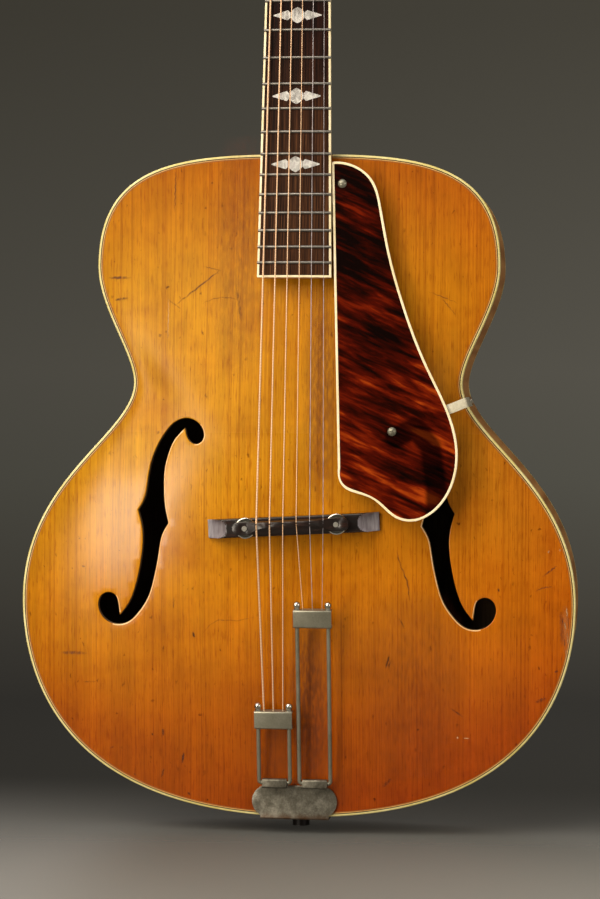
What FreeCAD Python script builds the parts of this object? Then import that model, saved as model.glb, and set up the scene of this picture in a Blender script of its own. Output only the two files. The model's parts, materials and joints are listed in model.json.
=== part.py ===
import FreeCAD, Part
import math
import os
from FreeCAD import Matrix, Placement, Rotation, Vector

# An archtop guitar, upright: +Z runs up the neck, the front faces -Y and the treble side is +X.
# It is drawn from the tail edge, then lifted so that the origin is the middle of the end pin's head.
# Lengths are millimetres.

# Soundbox outline: its widths, and the rises between them along the centreline from the tail
lower_bout = 437.0
waist = 259.0
upper_bout = 316.6
lower_bout_height = 168.6
waist_rise = 172.1
upper_bout_rise = 91.2
shoulder_rise = 87.5
waist_height = lower_bout_height + waist_rise
upper_bout_height = waist_height + upper_bout_rise
body_length = upper_bout_height + shoulder_rise
outline_handle_shares = (0.905, 0.294, 0.559, 0.238, 0.249, 0.355, 0.97, 0.555)

# Soundbox depth, plates and edge trim
rim_depth = 85.7
top_edge = 6.0
back_edge = 5.0
top_arch = 17.0
back_arch = 16.0
arch_flatness = 1.5
arch_centre_share = 0.472
arch_foot_share = 0.96
hollow_foot_share = 0.92
arch_oval_width_share = 0.87
arch_oval_length_share = 0.963
contour_shares = (1, 0.92, 0.82, 0.7, 0.56, 0.4, 0.22, 0.08)
rib_thickness = 2.3
binding_width = 2.2
purfling_width = 1.5
purfling_depth = 1.6
lining_width = 6.0
lining_height = 14.0

# Sound holes: size of the box round one, and its place from the saddle and the centreline
f_hole_length = 163.0
f_hole_width = 85.5
f_hole_foot_drop = 80.6
f_hole_inner_x = 71.4
f_upper_lobe_shares = ((0.18, 0.952), (0.145, 0.895), (0.083, 0.875), (0.018, 0.89), (0.0, 0.925),
                       (0.07, 0.984), (0.18, 1.0), (0.284, 0.979), (0.37, 0.931), (0.454, 0.856),
                       (0.531, 0.7), (0.565, 0.606), (0.621, 0.555))
f_outer_edge_shares = ((0.621, 0.555), (0.58, 0.47), (0.578, 0.37), (0.602, 0.282), (0.646, 0.185),
                       (0.711, 0.102), (0.793, 0.045))
f_lower_lobe_shares = ((0.793, 0.045), (0.806, 0.1), (0.836, 0.141), (0.903, 0.154), (0.968, 0.139),
                       (1.0, 0.1), (0.98, 0.052), (0.925, 0.018), (0.83, 0.0), (0.73, 0.008),
                       (0.61, 0.063), (0.536, 0.12), (0.468, 0.225), (0.418, 0.36), (0.39, 0.434),
                       (0.328, 0.494))
f_inner_edge_shares = ((0.328, 0.494), (0.36, 0.57), (0.374, 0.665), (0.368, 0.755), (0.335, 0.828),
                       (0.28, 0.894), (0.18, 0.952))

# Blocks and bars inside the soundbox
neck_block_length = 62.0
neck_block_width = 74.0
tail_block_length = 24.0
tail_block_width = 78.0
tone_bar_width = 8.0
tone_bar_depth = 15.0
tone_bar_length = 320.0
tone_bar_foot_height = 95.0
tone_bar_upper_x = 33.0
tone_bar_lower_x = 46.0

# Scale, frets and fingerboard: the board's plane is given at the saddle and where the neck joins
scale_length = 647.7
saddle_height = 230.6
board_plane_height = 37.6
board_joint_height = 16.8
fret_count = 20
octave_frets = 12
board_overhang = 11.4
board_thickness = 6.0
board_radius = 305.0
board_nut_width = 43.5
board_end_width = 57.8
board_binding_width = 1.6
fret_width = 2.3
fret_crown = 1.1
fret_tang_width = 0.6
fret_tang_depth = 1.6
inlay_frets = (3, 5, 7, 9, 12, 15)
inlay_width = 37.5
inlay_height = 12.6
inlay_depth = 1.2
inlay_barrel_share = 0.285
inlay_flat_share = 0.36
inlay_brow_shares = (0.56, 0.6)
inlay_gap_share = 0.008
inlay_notch_share = 0.32
inlay_barb_share = 0.05
inlay_wing_share = 0.62
inlay_tip_share = 0.06

# Neck
neck_depth_nut = 14.5
neck_depth_heel = 17.5
neck_shoulder_share = 0.8
neck_heel_start_share = 0.1
heel_width_top = 52.0
heel_width_cap = 25.0
heel_reach_top = 62.0
heel_reach_cap = 27.0
heel_level_shares = (0, 0.22, 0.55, 1)
heel_cheek_share = 0.8
tenon_width = 24.0
tenon_length = 46.0
tenon_floor = 20.0
tongue_thickness = 6.0
tongue_margin = 3.0
truss_rod_width = 5.0
truss_rod_depth = 9.0
truss_rod_inset = 16.0

# Nut and headstock
nut_length = 5.0
nut_crown = 1.9
head_tilt = 14.0
head_length = 184.0
head_thickness = 13.0
veneer_thickness = 2.0
head_neck_width = 45.0
head_foot_width = 60.0
head_crown_width = 83.0
head_foot_share = 0.13
head_corner_share = 0.9
head_dip_share = 0.94
head_root_length = 12.0

# Strings, bass to treble
string_diameters = (1.37, 1.07, 0.81, 0.61, 0.43, 0.33)
string_spread_nut = 36.0
string_spread_saddle = 51.7
string_lift_nut = 1.75
string_lift_saddle = 4.9
string_seat_gap = 0.05
string_end_gap = 0.5

# Bridge
bridge_slant = 3.2
bridge_base_length = 134.0
bridge_base_width = 14.5
bridge_base_crown = 11.0
bridge_base_tip = 0.8
bridge_shoulder_length = 100.0
bridge_scoop = 1.6
bridge_foot_gap = 44.0
bridge_foot_relief = 4.0
bridge_post_spread = 71.0
bridge_post_radius = 2.0
bridge_post_embed = 7.0
bridge_post_proud = 0.8
thumbwheel_radius = 8.4
thumbwheel_thickness = 3.8
thumbwheel_knurl = 0.45
thumbwheel_knurls = 30
thumbwheel_lift = 2.6
running_clearance = 0.08
saddle_seat_gap = 0.1
saddle_length = 90.0
saddle_thickness = 10.0
saddle_shelf = 4.4
saddle_crest_length = 66.0
saddle_ridge_width = 3.2
saddle_crest_shift = 2.4
saddle_corner = 4.2

# Tailpiece: bracket bent over the tail edge, and two trapeze frames hinged on it
bracket_width = 67.0
bracket_length = 23.5
bracket_setback = 1.6
bracket_thickness = 1.8
bracket_lift = 0.5
bracket_leg_width = 54.0
bracket_leg_depth = 66.0
bracket_bend = 1.6
hinge_height = 28.0
hinge_lift = 8.0
knuckle_width = 19.2
knuckle_wall = 1.5
knuckle_height = 7.3
knuckle_corner = 1.6
trapeze_rod_radius = 1.6
trapeze_spread = 24.3
trapeze_bend_radius = 2.2
bass_trapeze_x = -14.9
treble_trapeze_x = 16.9
bass_holder_reach = 44.3
treble_holder_reach = 126.0
holder_width = 29.6
holder_length = 14.2
holder_depth = 7.0
holder_wall = 1.6
holder_corner = 1.4
trapeze_nut_radius = 2.9
trapeze_nut_length = 6.4
trapeze_collar_share = 0.8
trapeze_tip = 4.6
after_string_pitch = 7.4

# Pickguard, in a plane parallel to the fingerboard
guard_top_drop = 4.0
guard_thickness = 2.6
guard_edge_width = 1.8
guard_top_margin = 6.2
guard_width = 100.0
guard_foot_rise = 5.0
guard_inner_x = 27.9
guard_edge_shares = ((0.0, 1.0), (0.172, 0.991), (0.316, 0.95), (0.385, 0.877), (0.455, 0.749),
                     (0.564, 0.611), (0.76, 0.43), (0.93, 0.301), (1.0, 0.195), (0.947, 0.087),
                     (0.785, 0.017), (0.648, 0.0), (0.518, 0.012), (0.34, 0.063), (0.145, 0.088),
                     (0.08, 0.147))
guard_screw_x = 36.3
guard_screw_drop = 23.0
guard_side_screw_x = 77.2
guard_side_screw_rise = 74.0
guard_screw_radius = 1.5
guard_screw_head_radius = 3.4
guard_screw_head = 1.7
guard_screw_slot = 0.8
guard_spacer_radius = 4.5
side_bracket_width = 7.5
side_bracket_thickness = 1.4
side_bracket_angle = 22.0
side_bracket_rib_gap = 0.4
side_bracket_bend = 2.4
side_bracket_leg = 30.0
side_bracket_screw_drop = 22.0

# End pin and small screws
end_pin_radius = 4.0
end_pin_length = 26.0
end_pin_head_radius = 6.8
end_pin_head = 5.0
end_pin_neck = 4.0
end_pin_collar_radius = 8.0
end_pin_collar = 2.2
tail_screw_radius = 1.6
tail_screw_length = 20.0
tail_screw_head_radius = 3.2
tail_screw_head = 1.6
tail_screw_spread = 34.0
tail_screw_upper_drop = 12.0

# Tuners: worm and gear, in the headstock's back
tuner_first = 45.0
tuner_spacing = 43.0
tuner_edge_distance = 11.0
tuner_post_radius = 3.0
tuner_post_proud = 14.0
tuner_post_waist = 0.6
tuner_post_hole_radius = 0.8
tuner_wrap_lift = 6.0
tuner_bushing_radius = 4.5
tuner_bushing_flange = 5.8
tuner_bushing_height = 1.6
tuner_plate_length = 27.0
tuner_plate_width = 18.0
tuner_plate_thickness = 1.2
tuner_plate_tail = 15.0
tuner_plate_corner = 3.0
gear_teeth = 14
worm_pitch = 2.2
gear_face = 3.0
tooth_height = 1.4
tooth_root_share = 0.46
tooth_tip_share = 0.2
worm_pitch_radius = 2.6
worm_root_radius = 1.9
worm_thread_share = 0.8
worm_turns = 4
mesh_clearance = 0.16
worm_plate_gap = 0.5
ear_thickness = 1.3
ear_width = 7.4
worm_shaft_radius = 1.4
worm_end_gap = 0.25
button_gap = 2.2
button_length = 17.0
button_width = 15.0
button_thickness = 7.4
button_collar_radius = 2.6
button_collar = 3.0
tuner_screw_radius = 1.1
tuner_screw_length = 9.0
tuner_screw_head_radius = 2.0
tuner_screw_head = 1.1

# How far a cutting shape runs past what it cuts
overrun = 30.0

half = 0.5
nudge = 0.001
pieces = {}


def at(x, z, h):
    return Vector(x, -(rim_depth * half + h), z)


def mirrored(shape):
    return shape.mirror(Vector(0, 0, 0), Vector(1, 0, 0))


def placed(shape, placement):
    moved = shape.copy()
    moved.Placement = placement.multiply(moved.Placement)
    return moved


def block(x, y, z):
    return Part.makeBox(x[1] - x[0], y[1] - y[0], z[1] - z[0], Vector(x[0], y[0], z[0]))


def rod(start, end, radius):
    return Part.makeCylinder(radius, (end - start).Length, start, end - start)


def spline(points):
    curve = Part.BSplineCurve()
    curve.interpolate(points)
    return curve.toShape()


def polygon(points):
    return Part.makePolygon(points + [points[0]])


def extruded(wire, direction):
    return Part.Face(wire).extrude(direction)


def joined(shapes):
    return shapes[0].multiFuse(shapes[1:]).removeSplitter() if len(shapes) > 1 else shapes[0]


def group(shapes):
    return Part.makeCompound(shapes)


def edges_along(shape, way):
    return [edge for edge in shape.Edges if edge.tangentAt(edge.FirstParameter).cross(way).Length < nudge]


# Outline of the soundbox: four Bezier curves a side, from the tail to the neck

def outline_poles():
    low, mid, top = lower_bout * half, waist * half, upper_bout * half
    k = outline_handle_shares
    rise = waist_height - lower_bout_height
    lift = upper_bout_height - waist_height
    crown = body_length - upper_bout_height
    return (((0, 0), (k[0] * low, 0), (low, lower_bout_height * (1 - k[1])), (low, lower_bout_height)),
            ((low, lower_bout_height), (low, lower_bout_height + k[2] * rise),
             (mid, waist_height - k[3] * rise), (mid, waist_height)),
            ((mid, waist_height), (mid, waist_height + k[4] * lift),
             (top, upper_bout_height - k[5] * lift), (top, upper_bout_height)),
            ((top, upper_bout_height), (top, upper_bout_height + k[6] * crown),
             (k[7] * top, body_length), (0, body_length)))


def bezier(poles, t):
    u = 1 - t
    weights = (u ** 3, 3 * u * u * t, 3 * u * t * t, t ** 3)
    slopes = (-3 * u * u, 3 * u * u - 6 * u * t, 6 * u * t - 3 * t * t, 3 * t * t)
    place = [sum(w * p[i] for w, p in zip(weights, poles)) for i in (0, 1)]
    slope = [sum(w * p[i] for w, p in zip(slopes, poles)) for i in (0, 1)]
    return place, slope


def contour_point(poles, t, inset, share, oval):
    # Moved inwards by the inset, rounded towards the arch's oval and drawn in about its centre
    centre = body_length * arch_centre_share
    (x, z), (dx, dz) = bezier(poles, t)
    size = math.hypot(dx, dz)
    x, z = x - inset * dz / size, z + inset * dx / size - centre
    stretch = half / math.hypot(x / (lower_bout * arch_oval_width_share),
                                z / (body_length * arch_oval_length_share))
    scale = share * (1 - oval + oval * stretch)
    return x * scale, centre + z * scale


def outline_edges(inset, h, share=1, oval=0, samples=10):
    edges = []
    for poles in outline_poles():
        points = [at(*contour_point(poles, i / samples, inset, share, oval), h) for i in range(samples + 1)]
        tangents = []
        for t in (0, 1):
            before = at(*contour_point(poles, t - nudge, inset, share, oval), h)
            after = at(*contour_point(poles, t + nudge, inset, share, oval), h)
            tangents.append(after - before)
        curve = Part.BSplineCurve()
        curve.interpolate(Points=points, InitialTangent=tangents[0], FinalTangent=tangents[1])
        edges.append(curve.toShape())
    return edges


def outline_wire(inset, h, share=1, oval=0):
    treble = outline_edges(inset, h, share, oval)
    bass = [mirrored(edge) for edge in reversed(treble)]
    return Part.Wire(treble + bass)


def outline_prism(inset, low, high):
    return extruded(outline_wire(inset, low), Vector(0, low - high, 0))


def outline_ring(outer, inner, low, high):
    hole = outline_wire(inner, low)
    hole.reverse()
    return extruded([outline_wire(outer, low), hole], Vector(0, low - high, 0))


def arch(height, foot_share, base):
    sections = []
    for share in contour_shares:
        oval = 1 - share * share
        rise = height * math.cos(math.pi * half * share ** arch_flatness) ** 2 if share < 1 else 0
        sections.append(outline_wire(0, base + rise, share * foot_share, oval))
    return Part.makeLoft(sections, True)


def arched_plate(edge, height, rebate_width=0, rebate_depth=0):
    slabs = [outline_prism(binding_width, -edge, -rebate_depth)]
    if rebate_depth:
        slabs.append(outline_prism(binding_width + rebate_width, -rebate_depth, 0))
    dome = slabs[0].multiFuse(slabs[1:] + [arch(height, arch_foot_share, 0)])
    return dome.cut(arch(height, hollow_foot_share, -edge))


def turned_over(shape):
    return shape.mirror(Vector(0, 0, 0), Vector(0, 1, 0))


def f_hole():
    foot = saddle_height - f_hole_foot_drop

    def run(shares):
        return spline([at(f_hole_inner_x + across * f_hole_width, foot + up * f_hole_length,
                          -top_edge - overrun) for across, up in shares])
    wire = Part.Wire([run(f_upper_lobe_shares), run(f_outer_edge_shares),
                      run(f_lower_lobe_shares), run(f_inner_edge_shares)])
    return extruded(wire, Vector(0, -(top_edge + top_arch + 2 * overrun), 0))


# The neck's own frame: x across, y back from the board's plane, z from the saddle to the nut

board_slope = (board_plane_height - board_joint_height) / (body_length - saddle_height)
board_angle = math.degrees(math.atan(board_slope))
neck_frame = Placement(at(0, saddle_height, board_plane_height), Rotation(Vector(1, 0, 0), -board_angle))


def fret_place(number):
    return scale_length * 2 ** (-number / octave_frets)


board_end = fret_place(fret_count) - board_overhang


def board_width(place):
    taper = (board_end_width - board_nut_width) / (scale_length - board_end)
    return board_nut_width + taper * (scale_length - place)


def crown_drop(x):
    return board_radius - math.sqrt(board_radius ** 2 - x * x)


def board_plan(margin, low, high, start, end):
    # A tapered slab under the board's outline
    a, b = board_width(start) * half - margin, board_width(end) * half - margin
    wire = polygon([Vector(-a, low, start), Vector(a, low, start), Vector(b, low, end), Vector(-b, low, end)])
    return extruded(wire, Vector(0, high - low, 0))


def board_barrel(radius):
    return Part.makeCylinder(radius, scale_length, Vector(0, board_radius, 0), Vector(0, 0, 1))


def fret(number):
    place, side = fret_place(number), fret_width * half
    tang = fret_tang_width * half
    rim = Part.Arc(Vector(0, 0, place - side), Vector(0, -fret_crown, place), Vector(0, 0, place + side))
    deep = fret_tang_depth
    corners = [Vector(0, 0, place + side), Vector(0, 0, place + tang), Vector(0, deep, place + tang),
               Vector(0, deep, place - tang), Vector(0, 0, place - tang), Vector(0, 0, place - side)]
    face = Part.Face(Part.Wire([rim.toShape()] + Part.makePolygon(corners).Edges))
    spread = math.degrees(math.asin(board_width(place) * half / board_radius))
    axis, pivot = Vector(0, 0, 1), Vector(0, board_radius, 0)
    return face.rotate(pivot, axis, -spread).revolve(pivot, axis, 2 * spread)


def inlay(number):
    # A flat-sided barrel between two barbed wings that narrow outwards to a point
    place = (fret_place(number) + fret_place(number - 1)) * half
    wide, tall = inlay_width * half, inlay_height * half
    side, flat = inlay_width * inlay_barrel_share * half, tall * inlay_flat_share
    start = side + inlay_width * inlay_gap_share
    barb = start + inlay_width * inlay_barb_share
    notch, wing, tip = tall * inlay_notch_share, tall * inlay_wing_share, tall * inlay_tip_share

    def spot(x, z):
        return Vector(x, -overrun, place + z)
    across, up = inlay_brow_shares
    brow = flat + up * (tall - flat)
    edges = []
    for s in (1, -1):
        crown, right, left = spot(0, s * tall), spot(s * side, s * flat), spot(-s * side, s * flat)
        edges += [Part.Arc(right, spot(s * side * across, s * brow), crown).toShape(),
                  Part.Arc(crown, spot(-s * side * across, s * brow), left).toShape(),
                  Part.makeLine(left, spot(-s * side, -s * flat))]
    plans = [Part.Wire(edges)]
    for s in (1, -1):
        plans.append(polygon([spot(s * start, -notch), spot(s * barb, -wing), spot(s * wide, -tip),
                              spot(s * wide, tip), spot(s * barb, wing), spot(s * start, notch)]))
    shell = board_barrel(board_radius).cut(board_barrel(board_radius - inlay_depth))
    return [extruded(plan, Vector(0, overrun * 2, 0)).common(shell) for plan in plans]


def make_fingerboard():
    barrel = board_barrel(board_radius)
    blank = board_plan(0, -overrun, board_thickness, board_end, scale_length).common(barrel)
    frets = [fret(n) for n in range(1, fret_count + 1)]
    inlays = [solid for n in inlay_frets for solid in inlay(n)]
    inner_end = board_end + board_binding_width
    core = board_plan(board_binding_width, -overrun, board_thickness, inner_end, scale_length).common(barrel)
    strips = blank.cut(core).cut(group(frets))
    board = core.cut(group(frets)).cut(group(inlays))
    for name, shape in (("fingerboard", board), ("fingerboard_binding", strips), ("frets", group(frets)),
                        ("position_inlays", group(inlays))):
        pieces[name] = placed(shape, neck_frame)


# The headstock's own frame: x across, y back from its wood's front face, z from the nut to the crown

head_frame = neck_frame.multiply(Placement(Vector(0, board_thickness, scale_length + nut_length),
                                           Rotation(Vector(1, 0, 0), -head_tilt)))


def head_half_width(place):
    foot, corner = head_length * head_foot_share, head_length * head_corner_share
    return (head_foot_width + (head_crown_width - head_foot_width) * (place - foot) / (corner - foot)) * half


def head_plan(low, high, start):
    foot, corner = head_length * head_foot_share, head_length * head_corner_share
    dip = head_length * head_dip_share
    a, b, c = head_neck_width * half, head_foot_width * half, head_crown_width * half

    def spot(x, z):
        return Vector(x, low, z)
    side = [Part.makeLine(spot(a, start), spot(b, foot)), Part.makeLine(spot(b, foot), spot(c, corner)),
            spline([spot(c, corner), spot(c * half, dip), spot(0, head_length)])]
    wire = Part.Wire(side + [mirrored(edge) for edge in reversed(side)]
                     + [Part.makeLine(spot(-a, start), spot(a, start))])
    return extruded(wire, Vector(0, high - low, 0))


def neck_section(place, depth):
    side = board_width(place) * half
    deep = board_thickness + depth
    shoulder = side * neck_shoulder_share
    low = board_thickness + depth * neck_shoulder_share * neck_shoulder_share
    corners = [Vector(side, board_thickness, place), Vector(shoulder, low, place), Vector(0, deep, place),
               Vector(-shoulder, low, place), Vector(-side, board_thickness, place)]
    return Part.Wire([spline(corners), Part.makeLine(corners[-1], corners[0])])


def heel():
    # Round-nosed sections from under the board down to the back, each set against the rib
    top = board_joint_height - board_thickness
    sections = []
    for share in heel_level_shares:
        ease = (1 - share) ** 2
        wide = (heel_width_cap + (heel_width_top - heel_width_cap) * (1 - share)) * half
        reach = heel_reach_cap + (heel_reach_top - heel_reach_cap) * ease
        level = top - (top + rim_depth) * share
        foot = body_length - heel_reach_cap

        def spot(x, z):
            return at(x, z, level)
        cheek, middle = wide * heel_cheek_share, body_length + reach * half
        nose = spline([spot(wide, body_length), spot(cheek, middle), spot(0, body_length + reach),
                       spot(-cheek, middle), spot(-wide, body_length)])
        base = Part.makePolygon([spot(-wide, body_length), spot(-wide, foot), spot(wide, foot),
                                 spot(wide, body_length)])
        sections.append(Part.Wire([nose] + base.Edges))
    return Part.makeLoft(sections, True)


def make_neck():
    joint = body_length - saddle_height
    heel_start = joint + (scale_length - joint) * neck_heel_start_share
    stations = (scale_length + nut_length + head_root_length, scale_length, heel_start, joint)
    depths = (neck_depth_nut, neck_depth_nut, neck_depth_heel, neck_depth_heel)
    shaft = placed(Part.makeLoft([neck_section(p, d) for p, d in zip(stations, depths)], True), neck_frame)
    head = placed(head_plan(0, head_thickness, 0), head_frame)
    above_head = placed(block((-overrun, overrun), (-overrun, 0), (0, overrun)), head_frame)
    soundbox = outline_prism(0, -rim_depth, 0)
    outside = joined([shaft, heel(), head]).cut(soundbox).cut(above_head)
    tongue = board_plan(tongue_margin, board_thickness, board_thickness + tongue_thickness, board_end, joint)
    tenon_top = board_joint_height - board_thickness
    tenon = block((-tenon_width * half, tenon_width * half),
                  (-(rim_depth * half + tenon_top), rim_depth * half - tenon_floor),
                  (body_length - tenon_length, body_length + neck_depth_nut))
    above = block((-overrun, overrun), (-overrun, board_thickness), (0, scale_length))
    under_board = placed(above, neck_frame)
    neck = joined([outside, placed(tongue, neck_frame), tenon]).cut(under_board)
    channel = block((-truss_rod_width * half, truss_rod_width * half),
                    (board_thickness, board_thickness + truss_rod_depth),
                    (joint, scale_length - truss_rod_inset))
    pieces["truss_rod"] = placed(channel, neck_frame)
    bores = [placed(Part.makeCylinder(tuner_bushing_radius, head_thickness + 2 * overrun,
                                      Vector(x, -overrun, z), Vector(0, 1, 0)), head_frame)
             for x, z in tuner_places()]
    pieces["neck"] = neck.cut(pieces["truss_rod"]).cut(group(bores))
    veneer = head_plan(-veneer_thickness, 0, 0).cut(block((-overrun, overrun), (-overrun, overrun),
                                                           (-overrun, veneer_thickness * half)))
    pieces["headstock_veneer"] = placed(veneer, head_frame).cut(group(bores))


# Soundbox

def make_soundbox():
    neck = pieces["neck"]
    holes = f_hole()
    top_ring = outline_ring(binding_width, binding_width + purfling_width, -purfling_depth, 0)
    hollowed = arched_plate(top_edge, top_arch, purfling_width, purfling_depth)
    top = hollowed.cut(group([holes, mirrored(holes), neck]))
    back = turned_over(arched_plate(back_edge, back_arch))
    floor = -(rim_depth - back_edge)
    pieces["top_plate"] = top
    pieces["back_plate"] = back
    pieces["top_purfling"] = top_ring.cut(neck)
    pieces["top_binding"] = outline_ring(0, binding_width, -top_edge, 0).cut(neck)
    pieces["back_binding"] = outline_ring(0, binding_width, -rim_depth, floor)
    rim = outline_ring(0, rib_thickness, floor, -top_edge).cut(neck)
    wide = lower_bout
    treble_side = block((0, wide), (-wide, wide), (-overrun, body_length + overrun))
    pieces["treble_rib"] = rim.common(treble_side)
    pieces["bass_rib"] = rim.common(mirrored(treble_side))
    inside = outline_prism(rib_thickness, floor - back_edge * half, -top_edge * half)
    neck_box = block((-neck_block_width * half, neck_block_width * half), (-rim_depth, rim_depth),
                     (body_length - neck_block_length, body_length))
    tail_box = block((-tail_block_width * half, tail_block_width * half), (-rim_depth, rim_depth),
                     (0, tail_block_length))
    solid_plates = group([hollowed, back])
    pieces["neck_block"] = inside.common(neck_box).cut(solid_plates).cut(neck)
    pieces["tail_block"] = inside.common(tail_box).cut(solid_plates).cut(end_pin_shape())
    inner = rib_thickness + lining_width
    for name, low, high in (("top_lining", -top_edge - lining_height, -top_edge),
                            ("back_lining", floor, floor + lining_height)):
        pieces[name] = outline_ring(rib_thickness, inner, low, high).cut(neck_box).cut(tail_box)
    pieces["tone_bars"] = group([tone_bar(side) for side in (-1, 1)])


def tone_bar(side):
    # Springs along the inside of the top, deepest in the middle, seated in its hollow
    foot, head = tone_bar_foot_height, tone_bar_foot_height + tone_bar_length
    middle = (foot + head) * half
    level = -top_edge

    def spot(z, h):
        return at(0, z, h)
    belly = Part.Arc(spot(head, level), spot(middle, level - tone_bar_depth), spot(foot, level)).toShape()
    crown = Part.makePolygon([spot(foot, level), spot(foot, level + top_arch + overrun),
                              spot(head, level + top_arch + overrun), spot(head, level)])
    bar = extruded(Part.Wire([belly] + crown.Edges), Vector(tone_bar_width, 0, 0))
    bar.translate(Vector(-tone_bar_width * half, 0, 0))
    lean = math.degrees(math.atan((tone_bar_lower_x - tone_bar_upper_x) / tone_bar_length))
    bar.rotate(spot(middle, 0), Vector(0, 1, 0), -side * lean)
    bar.translate(Vector(side * (tone_bar_upper_x + tone_bar_lower_x) * half, 0, 0))
    hollow = arch(top_arch, hollow_foot_share, level)
    below = outline_prism(rib_thickness + lining_width, level - tone_bar_depth - overrun, level)
    return bar.common(hollow.fuse(below))


# Strings

def string_row(spread):
    step = spread / (len(string_diameters) - 1)
    return [-spread * half + i * step for i in range(len(string_diameters))]


def nut_point(i, length=0):
    x = string_row(string_spread_nut)[i]
    return Vector(x, crown_drop(x) - string_lift_nut, scale_length + length)


def crest_point(i):
    x = string_row(string_spread_saddle)[i]
    slant = math.radians(bridge_slant)
    return Vector(x, crown_drop(x) - string_lift_saddle, x * math.tan(slant) + saddle_crest_shift)


def tuner_places():
    # Bass side first, each from the nut to the crown
    stations = [tuner_first + i * tuner_spacing for i in range(len(string_diameters) // 2)]
    places = [(head_half_width(z) - tuner_edge_distance, z) for z in stations]
    return [(-x, z) for x, z in places] + list(reversed(places))


def wrap_point(i):
    x, z = tuner_places()[i]
    reach = tuner_post_radius + string_diameters[i] * half + string_end_gap
    return Vector(x - math.copysign(reach, x), -(veneer_thickness + tuner_wrap_lift), z)


def shortened(start, end, first, last):
    way = (end - start).normalize()
    return start + way * first, end - way * last


def make_strings():
    speaking, heads, slots = [], [], []
    for i, diameter in enumerate(string_diameters):
        nut, crest = nut_point(i), crest_point(i)
        start, end = shortened(nut, crest, string_end_gap, string_end_gap)
        speaking.append(placed(rod(start, end, diameter * half), neck_frame))
        first = neck_frame.multVec(nut)
        last = head_frame.multVec(wrap_point(i))
        heads.append(rod(first, last, diameter * half))
        before = first - (last - first).normalize() * nut_length
        slots.append(rod(before, last, diameter * half + string_seat_gap))
    pieces["speaking_strings"] = group(speaking)
    pieces["head_strings"] = group(heads)
    wide = board_nut_width * half
    crown = Part.makeCylinder(board_radius + nut_crown, nut_length, Vector(0, board_radius, scale_length),
                              Vector(0, 0, 1))
    nut = block((-wide, wide), (-overrun, board_thickness), (scale_length, scale_length + nut_length))
    pieces["nut"] = placed(nut.common(crown), neck_frame).cut(group(slots))


# Bridge, in a frame at the saddle's foot: x along the slanted bridge, y back, z up the neck

bridge_frame = Placement(at(0, saddle_height, 0), Rotation(Vector(0, 1, 0), -bridge_slant))
bridge_top = top_arch + bridge_base_crown
wheel_low = bridge_top + thumbwheel_lift
wheel_high = wheel_low + thumbwheel_thickness
saddle_low = wheel_high + saddle_seat_gap
crest_height = board_plane_height + string_lift_saddle


def base_blank():
    # Two feet under a raised middle, with ends scooped down to thin tips
    side, shoulder = bridge_base_length * half, bridge_shoulder_length * half
    gap, relief = bridge_foot_gap * half, top_arch - bridge_foot_relief
    tip, lower = top_arch + bridge_base_tip, top_arch + bridge_foot_relief

    def spot(x, h):
        return Vector(x, -h, -bridge_base_width * half)
    scoop = spot((side + shoulder) * half, (tip + bridge_top) * half - bridge_scoop)
    end = Part.Arc(spot(side, tip), scoop, spot(shoulder, bridge_top)).toShape()
    feet = [(-side, tip), (-side, 0), (-gap, 0), (-gap, relief), (-gap * half, lower), (gap * half, lower),
            (gap, relief), (gap, 0), (side, 0), (side, tip)]
    under = Part.makePolygon([spot(x, h) for x, h in feet])
    top = Part.makeLine(spot(shoulder, bridge_top), spot(-shoulder, bridge_top))
    return extruded(Part.Wire(under.Edges + [end, top, mirrored(end)]), Vector(0, 0, bridge_base_width))


def make_bridge():
    posts, wheels, bores = [], {}, []
    for name, x in (("bass", -bridge_post_spread * half), ("treble", bridge_post_spread * half)):
        low = bridge_top - bridge_post_embed
        high = saddle_low + saddle_shelf + bridge_post_proud
        posts.append(rod(Vector(x, -low, 0), Vector(x, -high, 0), bridge_post_radius))
        bores.append(rod(Vector(x, -wheel_low, 0), Vector(x, -high - overrun, 0),
                         bridge_post_radius + running_clearance))
        wheels[name] = thumbwheel(x).cut(bores[-1])
    domed_top = arch(top_arch, arch_foot_share, 0)
    pieces["bridge_base"] = placed(base_blank().cut(group(posts)), bridge_frame).cut(domed_top)
    pieces["bridge_posts"] = placed(group(posts), bridge_frame)
    pieces["bass_thumbwheel"] = placed(wheels["bass"], bridge_frame)
    pieces["treble_thumbwheel"] = placed(wheels["treble"], bridge_frame)
    notches = []
    for i, diameter in enumerate(string_diameters):
        crest = neck_frame.multVec(crest_point(i))
        radius = diameter * half + string_end_gap * half
        for way in (neck_frame.multVec(nut_point(i)), trapeze_frame.multVec(after_start(i))):
            notches.append(rod(crest, crest + (way - crest).normalize() * saddle_thickness * 2, radius))
    pieces["bridge_saddle"] = placed(saddle_blank().cut(group(bores)), bridge_frame).cut(group(notches))


def thumbwheel(x):
    points = []
    for i in range(2 * thumbwheel_knurls):
        angle = math.pi * i / thumbwheel_knurls
        radius = thumbwheel_radius - thumbwheel_knurl * (i % 2)
        points.append(Vector(x + radius * math.cos(angle), -wheel_low, radius * math.sin(angle)))
    return extruded(polygon(points), Vector(0, -thumbwheel_thickness, 0))


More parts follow.
